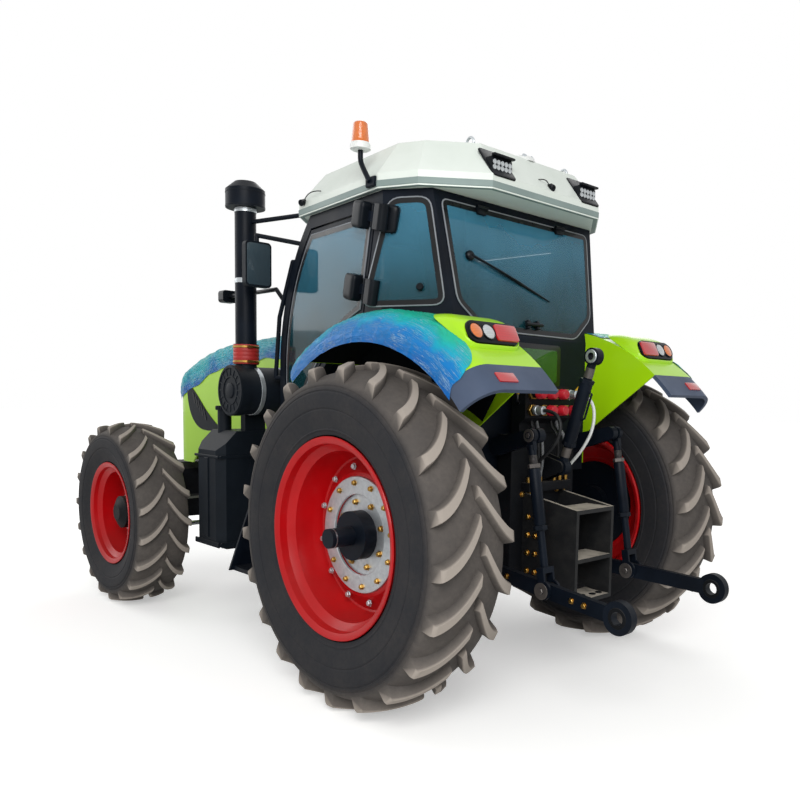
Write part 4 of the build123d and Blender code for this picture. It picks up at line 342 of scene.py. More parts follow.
@dataclass(frozen=True)
class Lens(Look):
    """A moulded lamp lens: coloured clear plastic with a small prism pattern."""

    colour: str
    glow: float = 0.0
    prism_mm: float = 6.0

    def inputs(self, nodes: Nodes) -> dict:
        """Glossy shader with prism bump and a little glow for the light inside."""
        spot = nodes.add("TexCoord", output="Object")
        cells = {"Vector": spot, "Scale": 1 / (self.prism_mm * MM), "Randomness": 0.1}
        prisms = nodes.add("TexVoronoi", cells, "Distance")
        tints = {0: 1.0, 6: self.colour, 7: nodes.add("MapRange", (prisms, 0.0, 0.7, 1.0, 0.72))}
        return {
            "Base Color": nodes.add("Mix", tints, 2, data_type="RGBA", blend_type="MULTIPLY"),
            "Normal": nodes.add("Bump", {"Height": prisms, "Strength": 0.3, "Distance": 0.002}),
            "Roughness": 0.12,
            "Coat Weight": 1.0,
            "Emission Color": self.colour,
            "Emission Strength": self.glow,
        }


AMBER = Lens("amber_acrylic", "amber_lens", "#E0700F", 0.06)
RED_LENS = Lens("red_acrylic", "red_lens", "#C0101A", 0.05)
CLEAR = Lens("clear_acrylic", "clear_lens", "#C2C8CB", 0.0, 9.0)


@dataclass(frozen=True)
class Pane(Look):
    """Tinted float glass: clear, with a stronger gloss at a glancing angle.

    Attributes:
        colour: Colour low in the cab.
        band: Colour of the painted sky reflection towards the top.
        body: Share of the light that a sheet stops when it is met square on.
        seen_through: Faces that a view may pass before glass closes it, so that the far
            side of the cab reads as dark glass.
    """

    colour: str
    band: str
    body: float
    seen_through: float = 3.5

    def inputs(self, nodes: Nodes) -> dict:
        """Glossy shader, bluer towards the pane's top as a painted sky reflection, and counted once per
        sheet.
        """
        glance = nodes.add("LayerWeight", {"Blend": 0.3}, "Fresnel")
        back = nodes.add("NewGeometry", output="Backfacing")
        front = nodes.add("Math", (1.0, back), operation="SUBTRACT")
        stopped = nodes.add("MapRange", (glance, 0.0, 1.0, self.body, 1.0))
        sheet = nodes.add("Math", (stopped, front), operation="MULTIPLY")
        passed = nodes.add("LightPath", output="Transparent Depth")
        far = nodes.add("Math", (passed, self.seen_through), operation="GREATER_THAN")
        spot = nodes.add("TexCoord", output="Object")
        streak = nodes.add("TexNoise", {"Vector": spot, "Scale": 2.4, "Detail": 4.0})
        height = nodes.add("SeparateXYZ", (spot,), "Z")
        shaken = nodes.add("Math", (streak, 0.5, height), operation="MULTIPLY_ADD")
        # Painted sky reflection: the pane's colour turns a paler blue with height.
        band = nodes.add("MapRange", (shaken, 2.2, 2.85, 0.0, 1.0))
        return {
            "Base Color": nodes.add("Mix", {0: band, 6: self.colour, 7: self.band}, 2, data_type="RGBA"),
            "Alpha": nodes.add("Math", (sheet, far), operation="MAXIMUM"),
            "Roughness": nodes.add("MapRange", (streak, 0.0, 1.0, 0.02, 0.07)),
            "Specular IOR Level": 0.35,
        }


# Tinted safety glass: dark green-blue below, with a sky blue painted reflection towards the top.
CAB_PANE = Pane("tinted_safety_glass", "tinted_glass", "#14383C", "#3C7A96", 0.3)
# Outer bonded sheet of the same glass, deeper in tint, with the same painted sky reflection towards the
# top.
BONDED_PANE = Pane("bonded_glass", "tinted_glass", "#163E44", "#4A90AE", 0.6)
# Silvered glass behind a dark tint, a little paler towards the top as a painted sky reflection.
MIRROR_PANE = Pane("mirror_glass", "tinted_glass", "#2A343A", "#3E4C54", 1.0)
# Small low pane whose green is a painted reflection of the fenders.
FENDER_REFLECTION_PANE = Pane("green_glass", "tinted_glass", "#2A5A22", "#2A5A22", 0.85)


@dataclass(frozen=True)
class FilmWrap(Look):
    """Stretched polyethylene film: glossy, teal where it is single, blue where it is doubled.

    Attributes:
        stops: Place and colour along the piece's V, from one edge of the film to the other.
        streak: Folds along the length and across the width of the film.
    """

    stops: tuple
    streak: tuple = (5.0, 26.0, 1.0)

    def inputs(self, nodes: Nodes) -> dict:
        """Runs the colour along V, with pale folds drawn out along the film and a crinkled gloss."""
        flat = nodes.add("TexCoord", output="UV")
        across = nodes.add("SeparateXYZ", (flat,), "Y")
        spot = nodes.add("TexCoord", output="Object")
        cloud = nodes.add("TexNoise", {"Vector": spot, "Scale": 6.0, "Detail": 4.0})
        moved = nodes.add("Math", (cloud, 0.30, across), operation="MULTIPLY_ADD")
        shaken = nodes.add("Math", (moved, 0.15), operation="SUBTRACT")
        colour = nodes.add("ValToRGB", {"Fac": shaken}, "Color", self.stops)
        drawn = nodes.add("Mapping", {"Vector": flat, "Scale": self.streak})
        folds = {"Vector": drawn, "Scale": 1.0, "Detail": 6.0, "Roughness": 0.62, "Distortion": 1.1}
        fold = nodes.add("TexNoise", folds)
        signed = nodes.add("Math", (fold, 0.5), operation="SUBTRACT")
        away = nodes.add("Math", (signed,), operation="ABSOLUTE")
        crease = nodes.add("MapRange", (away, 0.0, 0.022, 1.0, 0.0))
        patch = nodes.add("MapRange", (cloud, 0.42, 0.62, 0.0, 0.6))
        pale = nodes.add("Math", (crease, patch), operation="MULTIPLY")
        height = nodes.add("Math", (crease, 0.5, fold), operation="MULTIPLY_ADD")
        return {
            "Base Color": nodes.add("Mix", {0: pale, 6: colour, 7: "#BFE2EA"}, 2, data_type="RGBA"),
            "Normal": nodes.add("Bump", {"Height": height, "Strength": 0.5, "Distance": 0.02}),
            "Roughness": 0.26,
            "Specular IOR Level": 0.2,
            "Alpha": 0.93,
        }


# Protective film over the fenders: teal on top, doubled and deep blue on the outer edge.
FENDER_WRAP = FilmWrap(
    "fender_film", "green_paint",
    (
        (0.0, "#10A0C0"), (0.3, "#22C494"), (0.66, "#1CBCA4"), (0.78, "#12A8C8"), (0.85, "#0A7CC4"),
        (1.0, "#0A62B0"),
    ),
)
# The same film over the bonnet, blue where it is gathered at its lower edges.
BONNET_WRAP = FilmWrap(
    "bonnet_film", "green_paint",
    ((0.0, "#0A66B4"), (0.13, "#14ACBC"), (0.5, "#26C294"), (0.87, "#14ACBC"), (1.0, "#0A66B4")),
    (9.0, 30.0, 1.0),
)


@dataclass(frozen=True)
class Rubber(Look):
    """Weathered tyre rubber: dark walls and lugs rubbed to a dusty grey-brown.

    The piece's own "wear" attribute runs from 0 on the wall to 1 on a lug's top.
    """

    wall: str
    worn: str
    dusty: str
    speck_mm: float = 28.0

    def inputs(self, nodes: Nodes) -> dict:
        """Blends wall and worn colours by the wear attribute and breaks them up with noise."""
        spot = nodes.add("TexCoord", output="Object")
        wear = nodes.add("Attribute", output="Fac", attribute_name="wear")
        specks = {"Vector": spot, "Scale": 1 / (self.speck_mm * MM), "Detail": 6.0, "Roughness": 0.7}
        speck = nodes.add("TexNoise", specks)
        cloud = nodes.add("TexNoise", {"Vector": spot, "Scale": 5.0, "Detail": 3.0})
        mixed = nodes.add("Math", (speck, cloud), operation="MULTIPLY")
        risen = nodes.add("Math", (mixed, 0.5, wear), operation="MULTIPLY_ADD")
        lifted = nodes.add("MapRange", (risen, 0.1, 0.62, 0.0, 1.0))
        rubbed = nodes.add("Mix", {0: wear, 6: self.worn, 7: self.dusty}, 2, data_type="RGBA")
        return {
            "Base Color": nodes.add("Mix", {0: lifted, 6: self.wall, 7: rubbed}, 2, data_type="RGBA"),
            "Normal": nodes.add("Bump", {"Height": speck, "Strength": 0.25, "Distance": 0.004}),
            "Roughness": 0.78,
            "Specular IOR Level": 0.25,
        }


TYRE = Rubber("weathered_tyre", "tyre_rubber", "#222327", "#433E3B", "#A1988F")


# Surfaces worked out as arrays


@dataclass
class Surface:
    """Points and faces of a surface, which can be joined with others."""

    points: Array
    faces: list = field(default_factory=list)
    wear: Array | None = None
    uv: Array | None = None

    def __add__(self, other: "Surface") -> "Surface":
        """Joins two surfaces into one; their points stay apart."""
        start = len(self.points)
        moved = [face + start for face in other.faces]
        wear = None
        if self.wear is not None and other.wear is not None:
            wear = np.concatenate([self.wear, other.wear])
        return Surface(np.concatenate([self.points, other.points]), self.faces + moved, wear)


def joined(surfaces: list) -> Surface:
    """One surface of several."""
    return sum(surfaces[1:], surfaces[0])


def grid_faces(rows: int, columns: int, wrap_rows: bool, wrap_columns: bool) -> Array:
    """Quads of a grid whose points are numbered row by row.

    Args:
        rows: Number of rows of points.
        columns: Number of points in a row.
        wrap_rows: True if the last row joins the first.
        wrap_columns: True if a row closes on itself.

    Returns:
        Array of four point numbers per quad.
    """
    i = np.arange(rows if wrap_rows else rows - 1)[:, None]
    j = np.arange(columns if wrap_columns else columns - 1)[None, :]
    i2, j2 = (i + 1) % rows, (j + 1) % columns
    quads = np.stack([i * columns + j, i * columns + j2, i2 * columns + j2, i2 * columns + j], axis=-1)
    return quads.reshape(-1, 4)


def axes_for(axis) -> tuple[Array, Array, Array]:
    """Three square unit directions: two across an axis and one along it."""
    along = unit(axis)
    spare = np.array([0.0, 0.0, 1.0]) if abs(along[2]) < 0.9 else np.array([1.0, 0.0, 0.0])
    across = unit(np.cross(spare, along))
    return across, np.cross(along, across), along


def lathe(profile, centre, axis, segments: int = 48, closed: bool = False) -> Surface:
    """Turns a profile round an axis: point = centre + axis a + r (u cos t + v sin t).

    Args:
        profile: Pairs of place along the axis and radius.
        centre: Point that the places are counted from.
        axis: Direction of the axis.
        segments: Steps round the turn.
        closed: True if the profile's end joins its start.

    Returns:
        The turned surface.
    """
    run = np.asarray(profile, float)
    u, v, w = axes_for(axis)
    t = turns(segments)[None, :, None]
    a, r = run[:, 0][:, None, None], run[:, 1][:, None, None]
    points = np.asarray(centre, float) + a * w + r * (np.cos(t) * u + np.sin(t) * v)
    faces = grid_faces(len(run), segments, closed, True)
    return Surface(points.reshape(-1, 3), [faces])


def rounded(points, steps: int = 6) -> Array:
    """Smooths an open run of points: each inner corner becomes an arc of a quadratic curve."""
    run = np.asarray(points, float)
    mids = (run[:-1] + run[1:]) / 2
    t = np.linspace(0, 1, steps)[None, :, None]
    a, b, c = mids[:-1, None], run[1:-1, None], mids[1:, None]
    arcs = (1 - t) ** 2 * a + 2 * t * (1 - t) * b + t**2 * c
    return np.concatenate([run[:1], arcs.reshape(-1, run.shape[1]), run[-1:]])


def tube(path, radius, sides: int = 12) -> Surface:
    """Carries a circle along a path with capped ends: point = p + r (u cos t + v sin t).

    Args:
        path: Points of the middle line.
        radius: One radius, or one for each point.
        sides: Steps round the circle.

    Returns:
        The closed tube.
    """
    run = np.asarray(path, float)
    tangent = np.gradient(run, axis=0)
    tangent /= np.linalg.norm(tangent, axis=1)[:, None]
    spare = axes_for(tangent.mean(axis=0) + 1e-9)[0]
    u = spare - (tangent @ spare)[:, None] * tangent
    u /= np.linalg.norm(u, axis=1)[:, None]
    v = np.cross(tangent, u)
    t = turns(sides)[None, :, None]
    r = np.broadcast_to(np.asarray(radius, float), (len(run),))[:, None, None]
    return loft(run[:, None] + r * (np.cos(t) * u[:, None] + np.sin(t) * v[:, None]))


def prism(outline, origin, across, up, depth: float) -> Surface:
    """Pushes a flat outline through a depth: point = origin + a across + b up + d normal.

    Args:
        outline: Corner pairs in order round the shape.
        origin: Place of the outline's zero.
        across: Direction of the first of each pair.
        up: Direction of the second.
        depth: Thickness along across x up; negative goes the other way.

    Returns:
        The closed prism.
    """
    flat = np.asarray(outline, float)
    across, up = np.asarray(across, float), np.asarray(up, float)
    base = np.asarray(origin, float) + flat[:, :1] * across + flat[:, 1:] * up
    made = loft([base, base + depth * np.cross(across, up)])
    if depth < 0:
        made.faces = [face[:, ::-1] for face in made.faces]
    return made


def block(centre, size, cut: float = 0.1) -> Surface:
    """A box whose long edges lose a share of its smaller face: an outline pushed along X."""
    sx, sy, sz = size
    c = cut * min(sy, sz)
    y, z = sy / 2, sz / 2
    outline = [
        (-y + c, -z), (y - c, -z), (y, -z + c), (y, z - c),
        (y - c, z), (-y + c, z), (-y, z - c), (-y, -z + c),
    ]
    origin = np.asarray(centre, float) - np.array([sx / 2, 0, 0])
    return prism(outline, origin, TO_LEFT, UP, sx)


def ring_points(count: int, radius: float, centre, axis, turn: float = 0.0) -> Array:
    """Even points on a circle, the first at an angle: centre + r (u cos t + v sin t)."""
    u, v, _ = axes_for(axis)
    t = turn + turns(count)[:, None]
    return np.asarray(centre, float) + radius * (np.cos(t) * u + np.sin(t) * v)


def bolt_heads(places, axis, radius: float, height: float) -> Surface:
    """Hexagon heads on washers at many places, all pointing along one axis.

    Args:
        places: Points where the heads stand.
        axis: Direction that they stand out in.
        radius: Corner radius of the hexagon.
        height: Height of the head.

    Returns:
        All heads as one surface.
    """
    profile = [(0, 1.35), (0.12, 1.35), (0.14, 1.0), (0.85, 1.0), (1.0, 0.82), (1.0, 0.0)]
    head = lathe([(a * height, r * radius) for a, r in profile], (0, 0, 0), axis, 6)
    return joined([Surface(spot + head.points, head.faces) for spot in places])


def put(
    surface: Surface | list, name: str, finish: Look, body: str = "chassis", crease: float = 35.0,
    outward: bool = True,
) -> bpy.types.Object:
    """Turns a surface into a piece that rides on a body.

    Args:
        surface: Its points and faces, or a list of surfaces that are joined.
        name: Name of the piece.
        finish: Look that gives its material.
        body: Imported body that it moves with.
        crease: Angle in degrees past which an edge stays sharp.
        outward: True if closed shells in it are to face outwards.

    Returns:
        The new object.
    """
    if isinstance(surface, list):
        surface = joined(surface)
    mesh = bpy.data.meshes.new(name)
    faces = [row for rows in surface.faces for row in rows.tolist()]
    mesh.from_pydata(surface.points.tolist(), [], faces)
    if outward:
        work = bmesh.new()
        work.from_mesh(mesh)
        bmesh.ops.recalc_face_normals(work, faces=work.faces)
        work.to_mesh(mesh)
        work.free()
    mesh.polygons.foreach_set("use_smooth", np.ones(len(mesh.polygons), dtype=bool))
    mesh.set_sharp_from_angle(angle=math.radians(crease))
    if surface.wear is not None:
        layer = mesh.attributes.new("wear", "FLOAT", "POINT")
        layer.data.foreach_set("value", np.asarray(surface.wear, np.float32))
    if surface.uv is not None:
        corners = np.zeros(len(mesh.loops), np.int32)
        mesh.loops.foreach_get("vertex_index", corners)
        layer = mesh.uv_layers.new(name="flat")
        layer.data.foreach_set("uv", surface.uv[corners].astype(np.float32).ravel())
    piece = bpy.data.objects.new(name, mesh)
    bpy.context.scene.collection.objects.link(piece)
    mesh.materials.append(finish.material())
    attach(piece, body)
    LOG.info("%s: %d points", name, len(surface.points))
    return piece


def at(station: float, y: float, z: float) -> Array:
    """Point in metres from a place in millimetres, with stations counted from the rear axle."""
    low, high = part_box("rear_tyre_left")
    return np.array([(low.x + high.x) / 2 + station * MM, y * MM, z * MM])


def places(*points) -> Array:
    """Several such points as rows of one array."""
    return np.array([at(*point) for point in points])


def hose(points, radius: float, name: str, finish: Look) -> None:
    """Args:
        points: Places of the route in millimetres.
        radius: Radius in millimetres.
        name: Name of the piece.
        finish: Its finish.
    """
    curve = bpy.data.curves.new(name, "CURVE")
    curve.dimensions = "3D"
    curve.bevel_depth = radius * MM
    curve.bevel_resolution = 4
    curve.use_fill_caps = True
    route = places(*points)
    spline = curve.splines.new("NURBS")
    spline.points.add(len(route) - 1)
    rows = np.concatenate([route, np.ones((len(route), 1))], axis=1)
    spline.points.foreach_set("co", rows.ravel())
    spline.use_endpoint_u = True
    spline.order_u = 3
    spline.resolution_u = 10
    piece = bpy.data.objects.new(name, curve)
    bpy.context.scene.collection.objects.link(piece)
    curve.materials.append(finish.material())
    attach(piece, "chassis")


def round_outline(width: float, height: float, radius: float, steps: int = 6) -> Array:
    """Outline of a rounded rectangle: four quarter circles about the inset corners."""
    quarter = radius * np.exp(1j * np.linspace(0, math.pi / 2, steps))
    quarters = np.array([1, 1j, -1, -1j])
    signs = np.array([1 + 1j, -1 + 1j, -1 - 1j, 1 - 1j])
    middles = signs.real * (width / 2 - radius) + 1j * signs.imag * (height / 2 - radius)
    loop = (middles[:, None] + quarters[:, None] * quarter).ravel()
    return np.stack([loop.real, loop.imag], -1)


def loft(loops) -> Surface:
    """Skins a run of closed loops of equal length and caps both ends."""
    run = np.asarray(loops, float)
    rows, count = run.shape[:2]
    ends = np.arange(count)
    last = ends + (rows - 1) * count
    faces = [grid_faces(rows, count, False, True), ends[None, ::-1], last[None]]
    return Surface(run.reshape(-1, 3), faces)


def pad(size, radius: float, origin, across, up, depth: float, edge: float = 0.003) -> Surface:
    """A rounded plate whose front edge is broken in two steps.

    Args:
        size: Width and height.
        radius: Corner radius.
        origin: Middle of its back.
        across: Direction of the width.
        up: Direction of the height.
        depth: Thickness along across x up.
        edge: Size of the broken edge.

    Returns:
        The closed plate.
    """
    across, up = unit(across), unit(up)
    normal = np.cross(across, up)
    loops = []
    for draw, rise in ((0, 0), (0, depth - edge), (edge * 0.3, depth - edge * 0.3), (edge, depth)):
        flat = round_outline(size[0] - 2 * draw, size[1] - 2 * draw, max(radius - draw, 1e-4))
        loops.append(np.asarray(origin) + flat[:, :1] * across + flat[:, 1:] * up + rise * normal)
    return loft(loops)


def soft_corners(points, cut: float, steps: int = 6) -> Array:
    """Rounds a closed outline: each corner becomes a quadratic arc between two cuts."""
    run = np.asarray(points, float)
    back, ahead = np.roll(run, 1, axis=0) - run, np.roll(run, -1, axis=0) - run
    a = run + cut * back / np.linalg.norm(back, axis=1)[:, None]
    c = run + cut * ahead / np.linalg.norm(ahead, axis=1)[:, None]
    t = np.linspace(0, 1, steps)[None, :, None]
    arcs = (1 - t) ** 2 * a[:, None] + 2 * t * (1 - t) * run[:, None] + t**2 * c[:, None]
    return arcs.reshape(-1, run.shape[1])


def inset(loop: Array, out, depth: float) -> Array:
    """Moves a flat closed loop inwards: each point goes by (n1 + n2) / (1 + n1.n2) times the depth.

    Args:
        loop: Points in order; n1 and n2 are the inward normals of the two sides at a point.
        out: Direction that the loop faces.
        depth: How far it moves; below 0 it grows.

    Returns:
        The moved loop.
    """
    way = np.asarray(out, float)
    side = np.roll(loop, -1, axis=0) - loop
    turn = np.cross(loop - loop[0], side).sum(axis=0) @ way
    inward = np.sign(turn) * np.cross(way, side)
    inward = inward / np.maximum(np.linalg.norm(inward, axis=1)[:, None], 1e-9)
    before = np.roll(inward, 1, axis=0)
    share = np.maximum(1 + (inward * before).sum(axis=1), 0.4)[:, None]
    return loop + depth * (inward + before) / share


def ring(inner: float, outer: float, low: float, high: float, centre, axis, segments: int = 48) -> Surface:
    """A turned ring between two radii and two places on its axis, with broken outer edges."""
    brk = min(high - low, outer - inner) * 0.2
    profile = [
        (low, inner), (low, outer - brk), (low + brk, outer),
        (high - brk, outer), (high, outer - brk), (high, inner),
    ]
    return lathe(profile, centre, axis, segments, closed=True)


# Wheels


@dataclass
class Wheel:
    """One wheel: tyre with bent lugs, turned rim and its bolts.

    Attributes:
        axle: "rear" or "front".
        side: Side of the tractor.
        lugs: Lugs on each half of the tread.
        seat_r: Radius of the rim's bead seat.
        rim_half: Half of the rim's width.
        disc: Pairs of place outboard of the wheel's middle and radius, down the disc's face.
        bolts: Count, circle radius and place outboard of the bolts on the disc.
        sweep: Length of a lug's sweep round the tyre, in half widths.
        reach: Share of the half width where a lug ends.
    """

    axle: str
    side: Side
    lugs: int
    seat_r: float
    rim_half: float
    disc: list
    bolts: tuple
    sweep: float = 1.02
    reach: float = 0.94

    def __post_init__(self) -> None:
        """Reads the wheel's middle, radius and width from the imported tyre."""
        low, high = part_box(f"{self.axle}_tyre_{self.side.word}")
        self.centre = np.array((low + high) / 2)
        self.radius = (high.z - low.z) / 2
        self.half = (high.y - low.y) / 2
        self.body = f"{self.axle}_wheel_{self.side.word}"
        self.out = self.side.out

    def build(self) -> None:
        """Makes every piece of the wheel."""
        self.build_tyre()
        self.build_rim()
        count, circle, place = self.bolts
        spots = ring_points(count, circle, self.centre + self.out * place, self.out, 0.2)
        heads = bolt_heads(spots, self.out, 0.014, 0.014)
        put(heads, f"{self.body}_bolts", ZINC, self.body)

    def crown(self, share: Array) -> Array:
        """Radius of the lug tops: R (1 - 0.036 (s / reach)^2.2)."""
        return self.radius * (1 - 0.036 * (share / self.reach) ** 2.2)

    def floor(self, share: Array) -> Array:
        """Radius of the tread between lugs: R (0.95 - 0.068 (s / reach)^2.7)."""
        return self.radius * (0.95 - 0.068 * (share / self.reach) ** 2.7)

    def carcass(self) -> Array:
        """Half section of the tyre, from the tread's middle to the bead: place outboard, radius."""
        flange = self.seat_r + 0.026
        share = np.linspace(0, self.reach, 18)
        tread = np.stack([share * self.half, self.floor(share)], -1)
        shoulder = tread[-1]
        middle = (flange + self.radius) / 2
        wall = [
            shoulder, (self.half * 0.985, shoulder[1] - 0.04), (self.half, middle + 0.03),
            (self.half, middle - 0.04), (self.rim_half * 0.99, flange + 0.028),
            (self.rim_half * 0.955, flange + 0.004),
        ]
        return np.concatenate([tread[:-1], rounded(wall, 7)])

    def build_tyre(self) -> None:
        """Makes the carcass, its wall ribs and both rows of lugs as one piece."""
        half = self.with_ribs(self.carcass())
        profile = np.concatenate([half[::-1] * [-1, 1], half[1:]])
        steps = 126
        carcass = lathe(profile, self.centre, TO_LEFT, steps)
        rise = np.clip((profile[:, 1] / self.radius - 0.83) / 0.06, 0, 1)
        carcass.wear = np.repeat(0.02 + 0.26 * rise, steps)
        tyre = carcass + self.lug_row(1, 0.0) + self.lug_row(-1, 0.5)
        made = put(tyre, f"{self.body}_tyre", TYRE, self.body, crease=45)
        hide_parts(f"{self.axle}_tyre_{self.side.word}")

    def with_ribs(self, half: Array) -> Array:
        """Half section with a rib raised by the rim and thin grooves cut round the wall."""
        share, span = np.linspace(0, 1, len(half)), self.radius - self.seat_r
        rings = ((0.14, 0.004), (0.40, -0.003), (0.62, -0.004), (0.68, -0.003))
        radii = self.seat_r + span * np.array([spot for spot, _ in rings])
        middles = np.interp(radii, half[17:, 1][::-1], share[17:][::-1])
        close = (middles[:, None] + np.linspace(-0.014, 0.014, 11)).ravel()
        fine = np.unique(np.concatenate([np.linspace(0, 1, 84), np.clip(close, 0, 1)]))
        y, r = np.interp(fine, share, half[:, 0]), np.interp(fine, share, half[:, 1])
        for radius, (_, rise) in zip(radii, rings):
            y = y + rise * np.exp(-(((r - radius) / 0.0045) ** 4)) * (y > self.half * 0.85)
        return np.stack([np.minimum(y, self.half), r], -1)

    def lug_row(self, hand: int, shift: float) -> Surface:
        """One row of lugs: bars that leave the middle steeply, bend and end at the shoulder.

        At share s of the half width a bar's middle line lies at the angle
        sweep (1.81 s - 0.79 s^2) forward from its start, counted from straight below the axle.
        Its section is a ramp from the tread's floor up to a flat top with broken edges.

        Args:
            hand: 1 for the outboard row, -1 for the inboard row.
            shift: Share of the pitch that the row is turned by.

        Returns:
            All bars of the row.
        """
        s = np.concatenate([[0.034], np.linspace(0.05, self.reach - 0.025, 16), [self.reach]])
        rows = len(s)
        lift_row = np.ones(rows)
        lift_row[[0, -1]] = (0.86, 0.88)
        angle = self.sweep * self.half / self.radius * (1.81 * s - 0.79 * s**2)
        section = np.array([-0.047, -0.0345, -0.0275, 0.0275, 0.0345, 0.047])
        lift = np.array([-0.06, 0.84, 1.0, 1.0, 0.84, -0.06])
        swell = np.interp(s, [0, 0.5, 1], [0.9, 1.0, 1.08])
        floor, top = self.floor(s), self.crown(s)
        height = floor[:, None] + lift * lift_row[:, None] * (top - floor)[:, None]
        turn = 2 * math.pi * (np.arange(self.lugs) + shift) / self.lugs
        around = turn[:, None, None] + (angle[:, None] + swell[:, None] * section)[None]
        radius = np.broadcast_to(height[None], around.shape)
        across = np.broadcast_to((hand * s * self.half)[None, :, None], around.shape)
        x, z = self.centre[0] + radius * np.sin(around), self.centre[2] - radius * np.cos(around)
        points = np.stack([x, self.centre[1] + self.side.value * across, z], -1).reshape(-1, 3)
        columns = len(section)
        quads = grid_faces(rows, columns, False, False)
        ends = np.stack([np.arange(columns), np.arange(columns) + (rows - 1) * columns])
        shifts = (np.arange(self.lugs) * rows * columns)[:, None, None]
        faces = [(quads[None] + shifts).reshape(-1, 4), (ends[None] + shifts).reshape(-1, columns)]
        wear = np.broadcast_to(np.array([0.24, 0.42, 1.0, 1.0, 0.42, 0.24]), (self.lugs, rows, columns))
        return Surface(points, faces, wear.reshape(-1).copy())

    def build_rim(self) -> None:
        """Turns the rim: flanges, stepped well and dished disc, with its valve."""
        h, r = self.rim_half, self.seat_r
        lip = 0.024
        outer = [
            (h - 0.010, r + 0.001), (h - 0.009, r + lip - 0.006), (h - 0.004, r + lip),
            (h + 0.001, r + lip - 0.003), (h + 0.001, r + lip - 0.012), (h - 0.012, r - 0.012),
            (h * 0.76, r - 0.016), (h * 0.66, r - 0.034), (h * 0.60, r - 0.050),
        ]
        back = [(place - 0.014, radius) for place, radius in reversed(self.disc)]
        inner = [
            (self.disc[0][0] - 0.014, r - 0.050), (-h * 0.60, r - 0.050), (-h * 0.72, r - 0.018),
            (-h + 0.012, r - 0.012), (-h - 0.001, r + lip - 0.010), (-h + 0.004, r + lip),
            (-h + 0.010, r + 0.001),
        ]
        rim = lathe(outer + self.disc + back + inner, self.centre, self.out, 120, closed=True)
        made = put(rim, f"{self.body}_rim", RIM_RED, self.body, crease=32)
        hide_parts(f"{self.axle}_rim_{self.side.word}")
        foot = self.centre + self.out * (h * 0.42) + (r - 0.052) * np.array([-0.72, 0.0, 0.694])
        lean = self.out * 0.035 + 0.03 * np.array([0.72, 0.0, -0.694])
        valve = tube([foot, foot + 0.5 * lean, foot + lean], [0.009, 0.007, 0.005])
        put(valve, f"{self.body}_valve", BRASS, self.body)


@dataclass
class RearHub:
    """Bolted ring and recessed plate round a rear clamp hub, and the bar axle's snap ring."""

    side: Side
    ring_r: float = 0.300
    hole_r: float = 0.208
    hub_r: float = 0.125
    disc_face: float = 0.022
    plate_face: float = 0.008
    bar_r: float = 0.049
    bar_reach: float = 0.219

    def build(self) -> None:
        """Makes the ring, the plate, both circles of bolts and the snap ring."""
        low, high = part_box(f"rear_tyre_{self.side.word}")
        centre = np.array((low + high) / 2)
        out = self.side.out
        body = f"rear_wheel_{self.side.word}"
        face = self.disc_face + 0.011
        foot, hole, rim = self.disc_face - 0.001, self.hole_r, self.ring_r
        flange = [
            (foot, hole), (face - 0.002, hole), (face, hole + 0.002),
            (face, rim - 0.003), (face - 0.003, rim), (foot, rim),
        ]
        low, high, bore = self.plate_face - 0.001, self.plate_face + 0.003, self.hub_r + 0.001
        plate = [(low, bore), (high, bore), (high, hole), (low, hole)]
        silver = [lathe(profile, centre, out, 96, closed=True) for profile in (flange, plate)]
        put(silver, f"{body}_flange_ring", ZINC, body, crease=30)
        outer = ring_points(12, 0.266, centre + out * face, out, 0.13)
        inner = ring_points(8, 0.170, centre + out * high, out, 0.3)
        heads = bolt_heads(outer, out, 0.0125, 0.015) + bolt_heads(inner, out, 0.0135, 0.018)
        put(heads, f"{body}_flange_bolts", BRASS, body)
        tip = self.bar_reach - 0.026
        inner, outer = self.bar_r - 0.002, self.bar_r + 0.002
        snap = [(tip, inner), (tip, outer), (tip + 0.005, outer), (tip + 0.005, inner)]
        put(lathe(snap, centre, out, 48, closed=True), f"{body}_snap_ring", STEEL, body)


# Film wraps


def creases(across: Array, along: Array, seed: int, count: int = 11) -> Array:
    """Heights of slanted creases: the sum of (1 - |sin p|)^6, with p a slightly bent phase.

    Args:
        across: Places across the film in metres.
        along: Places along the film in metres.
        seed: Seed of the creases' slants and spacings.
        count: Number of crease directions.

    Returns:
        Summed heights, mostly from 0 to 2.
    """
    rng = np.random.default_rng(seed)
    lowest, highest = [[0], [9], [0], [0.3]], [[3.1], [34], [6.2], [1.4]]
    slant, pace, phase, bend = rng.uniform(lowest, highest, (4, count))
    line = along[..., None] * np.cos(slant) + across[..., None] * np.sin(slant)
    wave = bend * np.sin(3 * along + 7 * across)[..., None]
    return ((1 - np.abs(np.sin(pace * line + phase + wave))) ** 6).sum(axis=-1)


def film_grid(points: Array, across: Array, finish, name: str, body: str) -> None:
    """Args:
        points: Grid of points, rows along the film.
        across: Share of the film's width at each point, for the colour run.
        finish: The film's finish.
        name: Name of the piece.
        body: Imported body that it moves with.
    """
    rows, columns = points.shape[:2]
    flat = points.reshape(-1, 3)
    quads = grid_faces(rows, columns, False, False)
    share = np.linspace(0, 1, rows)[:, None] * np.ones((1, columns))
    uv = np.stack([share, across * np.ones_like(share)], -1).reshape(-1, 2)
    piece = put(Surface(flat, [quads], uv=uv), name, finish, body, 180, False)


def double(skins) -> Surface:
    """Closes two equal grids of points, one behind the other, into a thin sheet."""
    rows, columns = skins[0].shape[:2]
    grid = np.arange(rows * columns).reshape(rows, columns)
    rim = np.concatenate([grid[0], grid[1:, -1], grid[-1, -2::-1], grid[-2:0:-1, 0]])
    far = np.roll(rim, -1)
    quads, count = grid_faces(rows, columns, False, False), rows * columns
    walls = np.stack([rim, far, far + count, rim + count], -1)
    return Surface(np.concatenate(skins).reshape(-1, 3), [quads, quads[:, ::-1] + count, walls])


